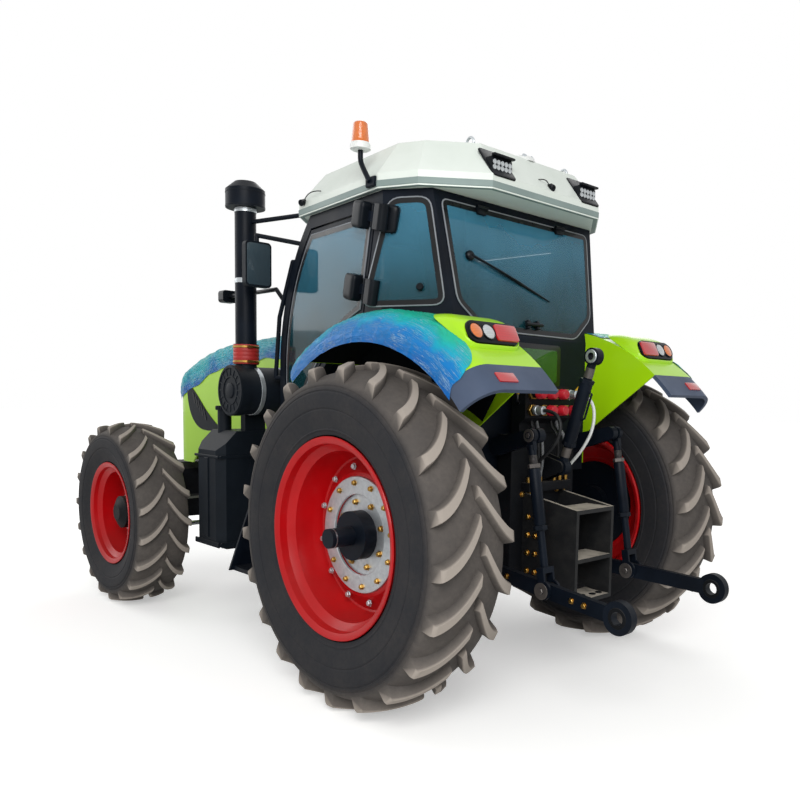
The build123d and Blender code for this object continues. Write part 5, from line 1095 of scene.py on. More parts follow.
@dataclass
class FenderFilm:
    """Film over a fender's crown: it ends ahead of the lamps but runs on along the outer edge."""

    side: Side
    crown_r: float = 1140.0
    inner_y: float = 506.0
    flat_y: float = 860.0
    edge_r: float = 170.7
    front_deg: float = 37.5
    top_rear_deg: float = 17.0
    edge_rear_deg: float = 42.5
    sheet: float = 9.0
    seed: int = 5

    def build(self) -> None:
        """Lays the film: a point lies at radius r(v) and angle a(u, v) round the rear axle.

        The section v runs along the flat crown and then round the edge's arc; the lift off
        the sheet is 2.5 mm plus the creases.
        """
        rows, columns = 150, 70
        flat = self.flat_y - self.inner_y
        bow = self.edge_r * math.radians(89)
        run = np.linspace(0, flat + bow, columns)[None, :]
        turn = np.clip((run - flat) / self.edge_r, 0, None)
        share = run / (flat + bow)
        t = np.clip((share - 0.45) / 0.3, 0, 1)
        rear = self.top_rear_deg + (self.edge_rear_deg - self.top_rear_deg) * t * t * (3 - 2 * t)
        u = np.linspace(0, 1, rows)[:, None]
        rear = rear + 1.5 * np.sin(14 * share) + 0.8 * np.sin(31 * share + 1)
        angle = np.radians(self.front_deg - u * (self.front_deg + rear))
        seed = self.seed + self.side.value
        lift = creases(run * MM * np.ones_like(u), self.crown_r * MM * angle, seed)
        lift = np.clip(2.5 + 2.6 * lift, 2.5, 9.5)
        y = np.minimum(run, flat) + self.inner_y + (self.edge_r + lift) * np.sin(turn)
        r = self.crown_r - self.edge_r + (self.edge_r + lift) * np.cos(turn)
        points = self.turned(y, r, angle)
        if self.side is Side.RIGHT:
            points = points[::-1]
        word = self.side.word
        film_grid(points, share, FENDER_WRAP, f"fender_film_{word}", "chassis")
        self.build_liner()

    def turned(self, y: Array, r: Array, angle: Array) -> Array:
        """Grid of points at a sideways place, a radius and an angle about the rear axle, in mm."""
        centre = at(0, 0, AXLE_Z)
        ahead, up = centre[0] + MM * r * np.sin(angle), centre[2] + MM * r * np.cos(angle)
        return np.stack([ahead, MM * self.side.value * y * np.ones_like(angle), up], -1)

    def build_liner(self) -> None:
        """Hangs a black liner 2 mm under the crown, with a wall along the inner panel, as painted shade
        under the fender.
        """
        flat, bow = self.flat_y - self.inner_y - 8, self.edge_r * math.radians(83)
        run = np.linspace(0, flat + bow, 24)[None, :]
        turn = np.clip((run - flat) / self.edge_r, 0, None)
        angle = np.radians(np.linspace(self.front_deg, -40.8, 60))[:, None]
        skins, walls = [], []
        for under in (self.sheet + 2, self.sheet + 5):
            y = np.minimum(run, flat) + self.inner_y + 8 + (self.edge_r - under) * np.sin(turn)
            r = self.crown_r - self.edge_r + (self.edge_r - under) * np.cos(turn)
            skins.append(self.turned(y, r, angle))
            down = np.linspace(self.crown_r - 16, 700, 8)[None, :]
            walls.append(self.turned(self.inner_y + 1 + under + 0 * down, down, angle[:54]))
        # The liner is painted shade: a black sheet where the fender's underside and inner panel lie in
        # shadow.
        liner = double(skins) + double(walls)
        put(liner, f"fender_liner_{self.side.word}", FENDER_SHADE_LINER)


@dataclass
class BonnetFilm:
    """Film over the bonnet's top and shoulders, from the cab towards the nose."""

    rear: float = 1440.0
    front: float = 3560.0
    straight: tuple = (2500.0, 1970.96)
    knee: tuple = (3420.0, 1785.0)
    nose: tuple = (3720.0, 1560.0)
    slope: float = -0.04479
    shoulder: float = 70.0
    drop_rear: float = 150.0
    drop_front: float = 215.0
    seed: int = 21

    def top(self, station: Array) -> Array:
        """Heights of the bonnet: a sloping line, then two arcs that fall to the nose."""
        (x0, z0), (x1, z1), fall = self.straight, self.knee, math.atan(self.slope)
        line = z0 + self.slope * (station - x0)
        first = self.arc(station, self.straight, fall, self.knee)
        second = self.arc(station, self.knee, 2 * math.atan2(z1 - z0, x1 - x0) - fall, self.nose)
        return np.where(station < x0, line, np.where(station < x1, first, second))

    @staticmethod
    def arc(station: Array, start: tuple, heading: float, end: tuple) -> Array:
        """Heights on the falling arc that leaves a point at a heading and meets another point."""
        (x0, z0), (x1, z1) = start, end
        turn = heading - math.atan2(z1 - z0, x1 - x0)
        radius = math.hypot(x1 - x0, z1 - z0) / (2 * math.sin(turn))
        middle_x, middle_z = x0 + radius * math.sin(heading), z0 - radius * math.cos(heading)
        inside = np.clip(1 - ((station - middle_x) / radius) ** 2, 0, 1)
        return middle_z + radius * np.sqrt(inside)

    def build(self) -> None:
        """Lays the film: up one side, round the shoulder, across the top and down the other.

        The section's run starts at the left hem; each point is moved off the sheet along the
        section's normal by 3 mm plus the creases.
        """
        rows, columns = 130, 110
        u = np.linspace(0, 1, rows)[:, None]
        station = self.rear + u * (self.front - self.rear)
        top = self.top(station)
        half = BONNET_HALF - BONNET_TAPER * (station - BONNET_REAR)
        half = half - np.clip(station - 3430.0, 0, None) ** 2 / 900.0
        drop = self.drop_rear + (self.drop_front - self.drop_rear) * u
        drop = drop + 14 * np.sin(17 * u) + 7 * np.sin(41 * u)
        wall = drop - self.shoulder
        bow = self.shoulder * math.pi / 2
        total = 2 * (wall + bow + half - self.shoulder)
        share = np.linspace(0, 1, columns)[None, :]
        reach = np.minimum(share, 1 - share) * total
        turn = np.clip((reach - wall) / self.shoulder, 0, math.pi / 2)
        lift = creases(share * total * MM, station * MM * np.ones_like(share), self.seed)
        lift = np.clip(3.0 + 2.8 * lift, 3.0, 11.0)
        side_y = half - self.shoulder + (self.shoulder + lift) * np.cos(turn)
        y = side_y - np.clip(reach - wall - bow, 0, None)
        z = top - self.shoulder + (self.shoulder + lift) * np.sin(turn)
        z = z - np.clip(wall - reach, 0, None)
        y = np.where(share < 0.5, y, -y)
        x = at(0, 0, 0)[0] + MM * station * np.ones_like(y)
        points = np.stack([x, MM * y, MM * z], -1)
        film_grid(points[::-1], share, BONNET_WRAP, "bonnet_film", "bonnet_lid")


# Lamps


@dataclass
class TailCluster:
    """Tail lamps of one side: black bezel, round amber and clear lamps and a red stop lamp."""

    side: Side
    angle_deg: float = 31.15
    crown_r: float = 1141.0
    mid_y: float = 705.0
    tilt_deg: float = 32.0
    reflector_deg: float = 45.4
    reflector_y: float = 812.0

    def face(self, angle_deg: float, y: float, radius: float) -> tuple[Array, Array, Array]:
        """Point on the crown at an angle behind upright, the way down it and the way out."""
        tip = math.radians(angle_deg)
        out = np.array([-math.sin(tip), 0.0, math.cos(tip)])
        down = np.array([-math.cos(tip), 0.0, -math.sin(tip)])
        return at(0, self.side.value * y, AXLE_Z) + radius * MM * out, down, out

    def build(self) -> None:
        """Makes the lime pod, the tilted bezel with its lenses and the reflector on the trim."""
        word = self.side.word
        crown, down, out = self.face(self.angle_deg, self.mid_y, self.crown_r)
        c, s = math.cos(math.radians(self.tilt_deg)), math.sin(math.radians(self.tilt_deg))
        look, fall = c * out + s * down, c * down - s * out
        centre = crown + out * 0.038
        wide = self.side.out
        across = np.array([0.0, 1.0, 0.0])
        low, high = round_outline(0.380, 0.33, 0.075), round_outline(0.345, 0.130, 0.050)
        foot = crown - down * 0.092 - out * 0.003 + low[:, :1] * across + low[:, 1:] * down
        head = centre + high[:, :1] * across + high[:, 1:] * fall
        t = np.linspace(0, 1, 9)[:, None, None]
        hull = (1 - t) * foot + t * head + 0.014 * np.sin(math.pi * t) * out
        put(loft(hull), f"tail_pod_{word}", LIME, crease=60)
        bezel = pad((0.334, 0.118), 0.046, centre - look * 0.002, across, fall, 0.018, 0.006)
        rounds = [centre + wide * 0.118, centre + wide * 0.036]
        for spot in rounds:
            bezel = bezel + ring(0.0385, 0.044, 0.012, 0.023, spot, look)
        made = put(bezel, f"tail_bezel_{word}", SMOOTH_BLACK)
        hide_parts("tail_lamps")
        dome = [(0.008, 0.038), (0.02, 0.038), (0.024, 0.032), (0.0265, 0.018), (0.027, 0.0)]
        put(lathe(dome, rounds[0], look, 40), f"turn_lens_{word}", AMBER)
        put(lathe(dome, rounds[1], look, 40), f"back_lens_{word}", CLEAR)
        seat = centre - wide * 0.084 + look * 0.008
        stop = pad((0.152, 0.088), 0.016, seat, across, fall, 0.018, 0.005)
        put(stop, f"stop_lens_{word}", RED_LENS)
        spot, down, out = self.face(self.reflector_deg, self.reflector_y, 1140.0)
        plate = pad((0.122, 0.056), 0.006, spot, TO_LEFT, down, 0.007, 0.002)
        put(plate, f"reflector_{word}", RED_LENS)


@dataclass
class WorkLamps:
    """Four roof lamps: a black surround on the sloping roof as painted shade of the lamp's recess, visor
    and a face of reflector cells.
    """

    rear: tuple = (-262.0, 364.0)
    front: tuple = (1040.0, 470.0)
    z: float = 2790.0
    size: tuple = (0.158, 0.100)
    slope_deg: float = 38.0

    def build(self) -> None:
        """Makes the surrounds of painted shade, the housings and the cells."""
        black, cells = [], []
        cup = [(0.0, 0.0125), (0.004, 0.0125), (0.004, 0.0112), (0.0012, 0.006), (0.0012, 0.0)]
        rake = math.radians(self.slope_deg)
        for (station, y), facing, rim in ((self.rear, -1, -350.0), (self.front, 1, 1130.0)):
            for side in Side:
                across = np.array([0.0, facing, 0.0])
                up = np.array([-facing * math.sin(rake), 0.0, math.cos(rake)])
                # The pad on the roof's slope is painted shade: it darkens the recess round the lamp.
                skin = at(rim - facing * 72 * math.tan(rake), side.value * y, 2727 + 72)
                skin = skin - np.cross(across, up) * 0.004
                black.append(pad((0.176, 0.20), 0.02, skin, across, up, 0.009, 0.003))
                ahead = np.array([facing, 0.0, 0.0])
                back = at(station, side.value * y, self.z - 14) + ahead * 0.006
                black.append(pad(self.size, 0.014, back, across, UP, 0.062, 0.005))
                face = back + ahead * 0.062
                visor = face + np.array([0, 0, 0.052])
                black.append(pad((0.158, 0.012), 0.004, visor, across, UP, 0.022, 0.003))
                for column in (-0.057, -0.0285, 0.0, 0.0285, 0.057):
                    for row in (-0.032, -0.0065, 0.019):
                        cells.append(lathe(cup, face + np.array([0, column, row]), ahead, 16))
        made = put(black, "work_lamp_housings", SMOOTH_BLACK)
        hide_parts("work_lamps")
        put(cells, "work_lamp_cells", CLEAR)


# Roof


@dataclass
class RoofFittings:
    """What stands on the roof: dome with two eyes, lifting rings, beacon and cameras."""

    dome: tuple = (-130.0, 0.0, 2917.0)
    ring_place: tuple = (-120.0, 393.0, 2937.4)
    beacon: tuple = (230.0, 852.0)
    lens_z: float = 2898.0
    top_z: float = 3010.0

    def build(self) -> None:
        """Makes every fitting."""
        self.build_band()
        self.build_dome()
        self.build_beacon()
        self.build_cameras()

    def build_band(self) -> None:
        """Runs a band of painted shade round the lower half of the roof's skirt, drawn in at its foot."""
        half = [(1130, 600), (1000, 735), (105, 835), (-110, 745), (-350, 450)]
        plan = np.array(half + [(x, -y) for x, y in reversed(half)], float)
        middle = np.array([390.0, 0.0])
        spoke = (plan - middle) / np.linalg.norm(plan - middle, axis=1)[:, None]
        loops = []
        for grow, z in ((-30, 2651), (-6, 2651), (2.5, 2662), (3.5, 2688), (1.5, 2692), (-30, 2692)):
            flat = plan + grow * spoke
            loops.append([at(x, y, z) for x, y in flat])
        points = np.array(loops)
        band = Surface(points.reshape(-1, 3), [grid_faces(6, len(plan), True, True)])
        # The band's grey is painted shade under the roof's rim.
        put(band, "roof_band", ROOF_PAINTED_SHADE, crease=25)

    def build_dome(self) -> None:
        """Turns the dome and the two lifting rings."""
        bowl = [(-0.004, 0.082), (0.012, 0.081), (0.024, 0.07), (0.032, 0.045), (0.034, 0.015), (0.034, 0)]
        made = put(lathe(rounded(bowl), at(*self.dome), UP, 64), "roof_dome", WHITE)
        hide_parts("roof_fittings")
        eyes = []
        for y in (-34, 34):
            out = np.array([-0.72, y / 110, 0.62])
            spot = at(self.dome[0] - 58, y, self.dome[2] + 22)
            lens = [(-0.006, 0.015), (0.003, 0.015), (0.005, 0.011), (0.006, 0.0)]
            eyes.append(lathe(lens, spot, out, 24))
        t = turns(16)
        section = np.stack([0.007 * np.cos(t), 0.0263 + 0.0077 * np.sin(t)], -1)
        station, y, z = self.ring_place
        for side in Side:
            eyes.append(lathe(section, at(station, side.value * y, z), TO_LEFT, 40, closed=True))
        put(eyes, "lifting_rings", ZINC)

    def build_beacon(self) -> None:
        """Bends the post and turns the beacon: its lens tapers by 6 degrees and has fine ribs."""
        station, y = self.beacon
        bends = ((150, 2689.5), (170, 2717), (216, 2782), (230, 2812), (230, 2863))
        post = tube(rounded(places(*[(x, y, z) for x, z in bends]), 8), 0.0138, 20)
        bracket = block(at(150, y - 14, 2689.5), (0.07, 0.027, 0.052), 0.2)
        put(post + bracket, "beacon_post", BLACK)
        foot = at(station, y, 0)
        base = [
            (2.862, 0.0), (2.862, 0.046), (2.866, 0.0535), (2.889, 0.0535), (2.893, 0.049),
            (2.898, 0.049), (2.898, 0.0),
        ]
        put(lathe(base, foot, UP, 48), "beacon_base", WHITE)
        rise = np.linspace(0, 1, 60)
        radius = 0.0480 - 0.0112 * rise + 0.0006 * np.cos(2 * math.pi * rise * 15)
        radius = radius * np.sqrt(np.clip(1 - np.clip((rise - 0.86) / 0.14, 0, 1) ** 2 * 0.9, 0, 1))
        z = self.lens_z * MM + rise * (self.top_z - self.lens_z - 1) * MM
        lens = np.concatenate([np.stack([z, radius], -1), [[z[-1], 0.0]]])
        put(lathe(lens, foot, UP, 48), "beacon_lens", AMBER)

    def build_cameras(self) -> None:
        """Makes two small cameras on the roof's skirt with their cables."""
        barrel = [
            (-0.02, 0.0), (-0.02, 0.015), (-0.014, 0.019), (0.014, 0.019), (0.018, 0.016),
            (0.012, 0.012), (0.012, 0.0),
        ]
        rear_route = ((-334, -14, 2758), (-342, 10, 2778), (-326, 36, 2788), (-300, 44, 2786))
        side_route = (
            (915, 757, 2724), (880, 772, 2735), (830, 778, 2756), (790, 758, 2768), (760, 740, 2764),
        )
        for name, spot, look, inward, route in (
            ("rear", (-336, -30, 2752), (-1.0, 0.0, -0.35), 0.0, rear_route),
            ("side", (930, 757, 2722), (-0.25, 1.0, -0.35), -0.012, side_route),
        ):
            centre = at(*spot)
            foot = block(centre + np.array([0.012, inward, 0.006]), (0.034, 0.03, 0.03), 0.2)
            put(lathe(barrel, centre, look, 28) + foot, f"camera_{name}", SMOOTH_BLACK)
            hose(route, 3.0, f"camera_cable_{name}", BLACK_HOSE)


# Cab


# Lean of the post behind the door: millimetres forward for each millimetre down
LEAN = 0.2287


def post_station(z: float) -> float:
    """Station of the leaning post behind the door at a height."""
    return 120 + LEAN * (2626 - z)


def quarter_out(side: Side) -> Array:
    """Way that a quarter window faces."""
    return np.array([-0.509, side.value * 0.861, 0.0])


def on_quarter(side: Side, station: float, z: float, sunk: float = 0.0) -> Array:
    """Point on a quarter window's plane, or sunk behind it by some millimetres."""
    return at(station, side.value * (590 + (station + 250) * 0.5915 - sunk), z)


def on_rear(y: float, z: float, rise: float = 0.0) -> Array:
    """Point on the cab's leaning rear face, lifted off it by a rise in metres."""
    return at(-250 + max(z - 1930, 0) * 122 / 720, y, z) + REAR_OUT * rise


@dataclass
class CabTrim:
    """Seals, dark glass borders, wiper, hinges, latches, lower pane and seat of the cab."""

    border: float = 0.030
    seal_r: float = 0.0045

    def build(self, nodes: dict) -> None:
        """Makes every piece of the cab's trim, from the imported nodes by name."""
        for side in Side:
            sign, word = side.value, side.word
            loop, out = self.pane_loop(nodes[f"door_{word}_glass"], (0.109, sign, 0.0))
            self.bond(inset(loop, out, -0.034) + out * 0.0145, out, f"door_{word}", f"door_{word}")
            front = [(post_station(z) - 50, z) for z in (2052, 2608)]
            flat = soft_corners(front + [(-118, 2608), (-196, 2060)], 60.0)
            edge = np.array([on_quarter(side, *spot) for spot in flat])
            self.bond(edge, quarter_out(side), f"quarter_{word}", "chassis")
            self.build_hinge_covers(side)
        half = [(395, 1948), (566, 2085), (612, 2606)]
        flat = soft_corners(half + [(-y, z) for y, z in reversed(half)], 45.0)
        self.bond(np.array([on_rear(y, z) for y, z in flat]), REAR_OUT, "rear_window", "chassis")
        self.build_latches()
        self.build_rear()
        self.build_seat()

    def pane_loop(self, node, facing) -> tuple[Array, Array]:
        """Edge of a packed pane's outer face, in order, and the way the pane faces.

        The outer face is the set of triangles that face the given way; its edge is made of
        the sides used by one triangle only, followed from end to end.

        Args:
            node: Packed glass node.
            facing: Direction that the pane faces.

        Returns:
            The loop of points and the unit direction.
        """
        mesh = node.data
        points = np.zeros(len(mesh.vertices) * 3)
        mesh.vertices.foreach_get("co", points)
        mesh.calc_loop_triangles()
        corners = np.zeros(len(mesh.loop_triangles) * 3, np.int32)
        mesh.loop_triangles.foreach_get("vertices", corners)
        solid = points.reshape(-1, 3)[corners.reshape(-1, 3)]
        normal = np.cross(solid[:, 1] - solid[:, 0], solid[:, 2] - solid[:, 0])
        normal = normal / np.maximum(np.linalg.norm(normal, axis=1)[:, None], 1e-12)
        wanted = unit(facing)
        face = solid[normal @ wanted > 0.985]
        keys = np.round(face.reshape(-1, 3) * 1e5).astype(np.int64)
        spots, numbers = np.unique(keys, axis=0, return_inverse=True)
        numbers = numbers.reshape(-1, 3)
        sides = np.concatenate([numbers[:, [0, 1]], numbers[:, [1, 2]], numbers[:, [2, 0]]])
        edges, uses = np.unique(np.sort(sides, axis=1), axis=0, return_counts=True)
        lone = set(map(tuple, edges[uses == 1].tolist()))
        following = {a: b for a, b in sides.tolist() if (min(a, b), max(a, b)) in lone}
        walk = [min(following)]
        while len(walk) < len(following):
            walk.append(following[walk[-1]])
        return spots[walk] / 1e5, wanted

    def bond(self, loop: Array, out: Array, name: str, body: str) -> None:
        """Lays a bonded glass sheet over the frame, with its dark border and its seal.

        Args:
            loop: Edge of the sheet.
            out: Direction that it faces.
            name: Name for the pieces.
            body: Body that they move with.
        """
        sheet = loft([loop + out * 0.0008, loop + out * 0.0048])
        put(sheet, f"{name}_bonded_glass", BONDED_PANE, body, 30)
        inner, edge = inset(loop, out, self.border), inset(loop, out, 0.002)
        low, high = out * 0.0051, out * 0.0057
        rows = np.stack([edge + low, inner + low, inner + high, edge + high])
        strip = Surface(rows.reshape(-1, 3), [grid_faces(4, len(loop), True, True)])
        put(strip, f"{name}_glass_border", FRIT, body, 30)
        bead = np.concatenate([loop, loop[:1]]) + out * 0.003
        put(tube(bead, self.seal_r, 8), f"{name}_seal", SEAL, body)

    def build_hinge_covers(self, side: Side) -> None:
        """Swells a rounded cover over each lobe of a side's two door hinges."""
        sign, word = side.value, side.word
        axis = unit([-LEAN, sign * 0.0251, 1.0])
        for z, level in ((2150, "low"), (2520, "high")):
            middle = np.array([-1.10144, sign * 0.81263, 2.3]) + axis * ((z * MM - 2.3) / axis[2])
            for hand, body, out in (
                (1, f"door_{word}", (0.109, sign * 0.994, 0.0)),
                (-1, "chassis", quarter_out(side)),
            ):
                face = unit(np.asarray(out) - axis * (np.asarray(out) @ axis))
                along = hand * sign * np.cross(face, axis)
                lobe = middle + along * 0.097 + face * 0.016
                cover = self.pillow(lobe, (0.108, 0.142, 0.074), along, axis, False)
                name = f"hinge_cover_{word}_{level}_{body.split('_')[0]}"
                put(cover, name, SMOOTH_BLACK, body, 60)

    def build_latches(self) -> None:
        """Turns a knob low in each quarter window, on a round foot."""
        profile = [
            (0.0, 0.0), (0.0, 0.026), (0.006, 0.026), (0.008, 0.012), (0.02, 0.011), (0.024, 0.019),
            (0.034, 0.019), (0.038, 0.015), (0.038, 0.0),
        ]
        for side in Side:
            knob = lathe(profile, on_quarter(side, -78, 2150, 8), quarter_out(side), 28)
            put(knob, f"latch_{side.word}", SMOOTH_BLACK)

    def build_rear(self) -> None:
        """Makes the rear window's hinges, wiper and handle, and the framed pane below it."""
        bits = []
        for y in (-330, 330):
            foot = on_rear(y, 2590)
            bits.append(pad((0.07, 0.05), 0.008, foot, TO_RIGHT, REAR_UP, 0.022, 0.005))
            barrel = foot + REAR_OUT * 0.022
            bits.append(tube([barrel + np.array([0, d, 0.012]) for d in (-0.04, 0.0, 0.04)], 0.009))
        for y in (-40, 40):
            foot = on_rear(y, 2000, -0.004)
            bits.append(pad((0.026, 0.05), 0.006, foot, TO_RIGHT, REAR_UP, 0.03, 0.005))
        bits.append(tube([on_rear(y, 2000, 0.028) for y in (-70, 0, 70)], 0.010))
        motor = [(-0.01, 0.0), (-0.01, 0.028), (0.022, 0.026), (0.03, 0.018), (0.03, 0.0)]
        bits.append(lathe(motor, on_rear(452, 2330), REAR_OUT, 28))
        arm = ((452, 2330, 0.026), (260, 2275, 0.03), (75, 2225, 0.024))
        bits.append(tube([on_rear(*spot) for spot in arm], [0.008, 0.006, 0.005]))
        blade = ((310, 2300, 0.014), (80, 2228, 0.014), (-170, 2150, 0.014))
        bits.append(tube([on_rear(*spot) for spot in blade], [0.004, 0.009, 0.004]))
        put(bits, "rear_window_fittings", SMOOTH_BLACK)
        centre = at(-250, 0, 1775)
        frame = pad((0.50, 0.25), 0.03, centre, TO_RIGHT, UP, 0.010, 0.004)
        put(frame, "lower_pane_frame", FRIT)
        centre = centre + np.array([-0.008, 0, 0])
        glass = pad((0.43, 0.19), 0.02, centre, TO_RIGHT, UP, 0.005, 0.002)
        # The pane's green is a painted reflection of the fenders.
        put(glass, "lower_pane", FENDER_REFLECTION_PANE)

    def build_seat(self) -> None:
        """Makes the seat: base, cushion and back, the soft ones crowned with sewn channels."""
        base = pad((0.36, 0.34), 0.05, at(360, 0, 1216), (1, 0, 0), TO_LEFT, 0.31, 0.03)
        made = put(base, "seat_base", MOULDED)
        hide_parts("seat")
        cushion = self.pillow(at(380, 0, 1598), (0.46, 0.47, 0.125), (1, 0, 0), TO_LEFT)
        back = self.pillow(at(128, 0, 1960), (0.53, 0.43, 0.112), UP, TO_LEFT)
        for name, pillow in (("seat_cushion", cushion), ("seat_back", back)):
            put(pillow, name, CLOTH, crease=60)

    @staticmethod
    def pillow(centre, size, along, across, sewn: bool = True) -> Surface:
        """A crowned pad: a rounded box whose thickness dips along two sewn channels.

        Each coordinate is a product of sines and cosines of latitude and longitude, each
        raised to 0.32 with its sign kept. The thickness falls off towards the rim and is
        scaled by 1 - 0.2 exp(-(w / 0.05)^2), with w counted from the channels at 0.42 of
        the half width.

        Args:
            centre: Middle of the pad.
            size: Length, width and thickness.
            along: Direction of the length.
            across: Direction of the width.
            sewn: True if it has the channels.

        Returns:
            The closed pad.
        """
        along, across = np.asarray(along, float), np.asarray(across, float)
        v = np.linspace(-math.pi / 2, math.pi / 2, 49)[:, None]
        u = turns(96)[None, :]

        def soft(value: Array) -> Array:
            """Signed power that makes a circle boxy."""
            return np.sign(value) * np.abs(value) ** 0.32

        a = soft(np.cos(v)) * soft(np.cos(u))
        b = soft(np.cos(v)) * soft(np.sin(u))
        c = soft(np.sin(v)) * np.ones_like(u)
        dip = np.exp(-(((np.abs(b) - 0.42) / 0.05) ** 2)) * (np.abs(a) < 0.93)
        crown = 1 - 0.22 * (np.abs(a) ** 4 + np.abs(b) ** 4) / 2
        thick = c * crown * (1 - 0.2 * sewn * dip)
        normal = np.cross(along, across)
        parts = [
            (size[0] / 2 * a)[..., None] * along, (size[1] / 2 * b)[..., None] * across,
            (size[2] / 2 * thick)[..., None] * normal,
        ]
        points = (np.asarray(centre) + sum(parts)).reshape(-1, 3)
        return Surface(points, [grid_faces(49, 96, False, True)])


# Left and right sides


@dataclass
class IntakeSide:
    """Intake stack, air cleaner, tank, mirrors and indicators."""

    stack: tuple = (1575.0, 775.0)
    cleaner: tuple = (1575.0, 1600.0)

    def build(self) -> None:
        """Makes every fitting beside the bonnet."""
        self.build_stack()
        self.build_cleaner()
        self.build_tank()
        for side in Side:
            self.build_mirror(side)

    def build_stack(self) -> None:
        """Turns the ribbed red sleeve, its clamps and the steel band under the cap."""
        foot = at(*self.stack, 0)
        rise = np.linspace(1.775, 1.902, 60)
        swell = 0.0808 + 0.0022 * np.abs(np.sin((rise - 1.775) / 0.127 * math.pi * 5))
        sleeve = np.concatenate([[[rise[0], 0.079]], np.stack([rise, swell], -1), [[rise[-1], 0.079]]])
        put(lathe(sleeve, foot, UP, 64), "intake_sleeve", RED_HOSE)
        clamps = [ring(0.079, 0.0855, z, z + 0.014, foot, UP, 64) for z in (1.784, 1.880)]
        for z in (1.791, 1.887):
            clamps.append(block(foot + np.array([-0.086, 0.02, z]), (0.014, 0.034, 0.016), 0.2))
        put(clamps, "sleeve_clamps", BRASS)
        spans = ((0.0705, 2.752, 2.778), (0.0700, 2.30, 2.33))
        bands = [ring(0.067, r, low, high, foot, UP, 64) for r, low, high in spans]
        bands.append(bolt_heads([foot + np.array([-0.07, 0.0, 2.765])], TO_REAR, 0.009, 0.009))
        put(bands, "stack_bands", ZINC)
        cap = [ring(0.124, 0.1265, z, z + 0.006, foot, UP, 72) for z in (2.786, 2.872)]
        put(cap, "stack_cap_beads", MOULDED)

    def build_cleaner(self) -> None:
        """Turns the rings of the cleaner's cap and sets its spokes and clips."""
        station, z = self.cleaner
        face = at(station, 890, z)
        knob = [(-0.004, 0.052), (0.006, 0.050), (0.009, 0.040), (0.009, 0.0)]
        parts = [
            ring(0.145, 0.160, -0.004, 0.006, face, TO_LEFT, 72),
            ring(0.086, 0.096, -0.004, 0.005, face, TO_LEFT, 56), lathe(knob, face, TO_LEFT, 40),
        ]
        for spot in ring_points(16, 0.120, face, TO_LEFT):
            spoke = unit(spot - face)
            side = np.cross(TO_LEFT, spoke)
            parts.append(pad((0.046, 0.009), 0.004, spot, spoke, side, 0.004, 0.0015))
            clip = face + spoke * 0.164 - np.array([0, 0.022, 0])
            parts.append(pad((0.03, 0.012), 0.003, clip, TO_LEFT, side, 0.004, 0.0015))
        put(parts, "cleaner_cap", MOULDED, crease=30)
        band = at(station, 500, z)
        straps = [ring(0.157, 0.1615, y, y + 0.03, band, TO_LEFT, 72) for y in (0.03, 0.22)]
        put(straps, "cleaner_straps", ZINC)

    def build_tank(self) -> None:
        """Makes the tank's foot ledge, its upright ridge and the filler cap's grips."""
        parts = []
        for low, high in ((552, 588), (1150, 1168)):
            parts.append(block(at(1792.5, 951, (low + high) / 2), (0.335, 0.012, (high - low) * MM), 0.3))
            parts.append(block(at(1619, 700, (low + high) / 2), (0.010, 0.49, (high - low) * MM), 0.3))
        parts.append(block(at(1792.5, 951, 880), (0.05, 0.014, 0.54), 0.3))
        parts.append(block(at(1619, 700, 880), (0.010, 0.05, 0.54), 0.3))
        cap = at(1840, 795, 1480)
        for spot in ring_points(18, 0.0555, cap, UP):
            parts.append(block(spot, (0.008, 0.008, 0.026), 0.3))
        put(parts, "tank_ribs", MOULDED, crease=30)

    def build_mirror(self, side: Side) -> None:
        """Sets a side's mirror glass and indicator lenses."""
        sign, word = side.value, side.word
        glass = pad((0.160, 0.256), 0.02, at(1309, sign * 832, 2390), TO_RIGHT, UP, 0.004, 0.002)
        put(glass, f"mirror_glass_{word}", MIRROR_PANE)
        for name, y, look in (("indicator", 681, AMBER), ("position", 629, CLEAR)):
            lens = pad((0.044, 0.070), 0.012, at(2084, sign * y, 2262), TO_LEFT, UP, 0.009, 0.004)
            put(lens, f"{name}_lens_{word}", look)


# Rear linkage and hydraulics


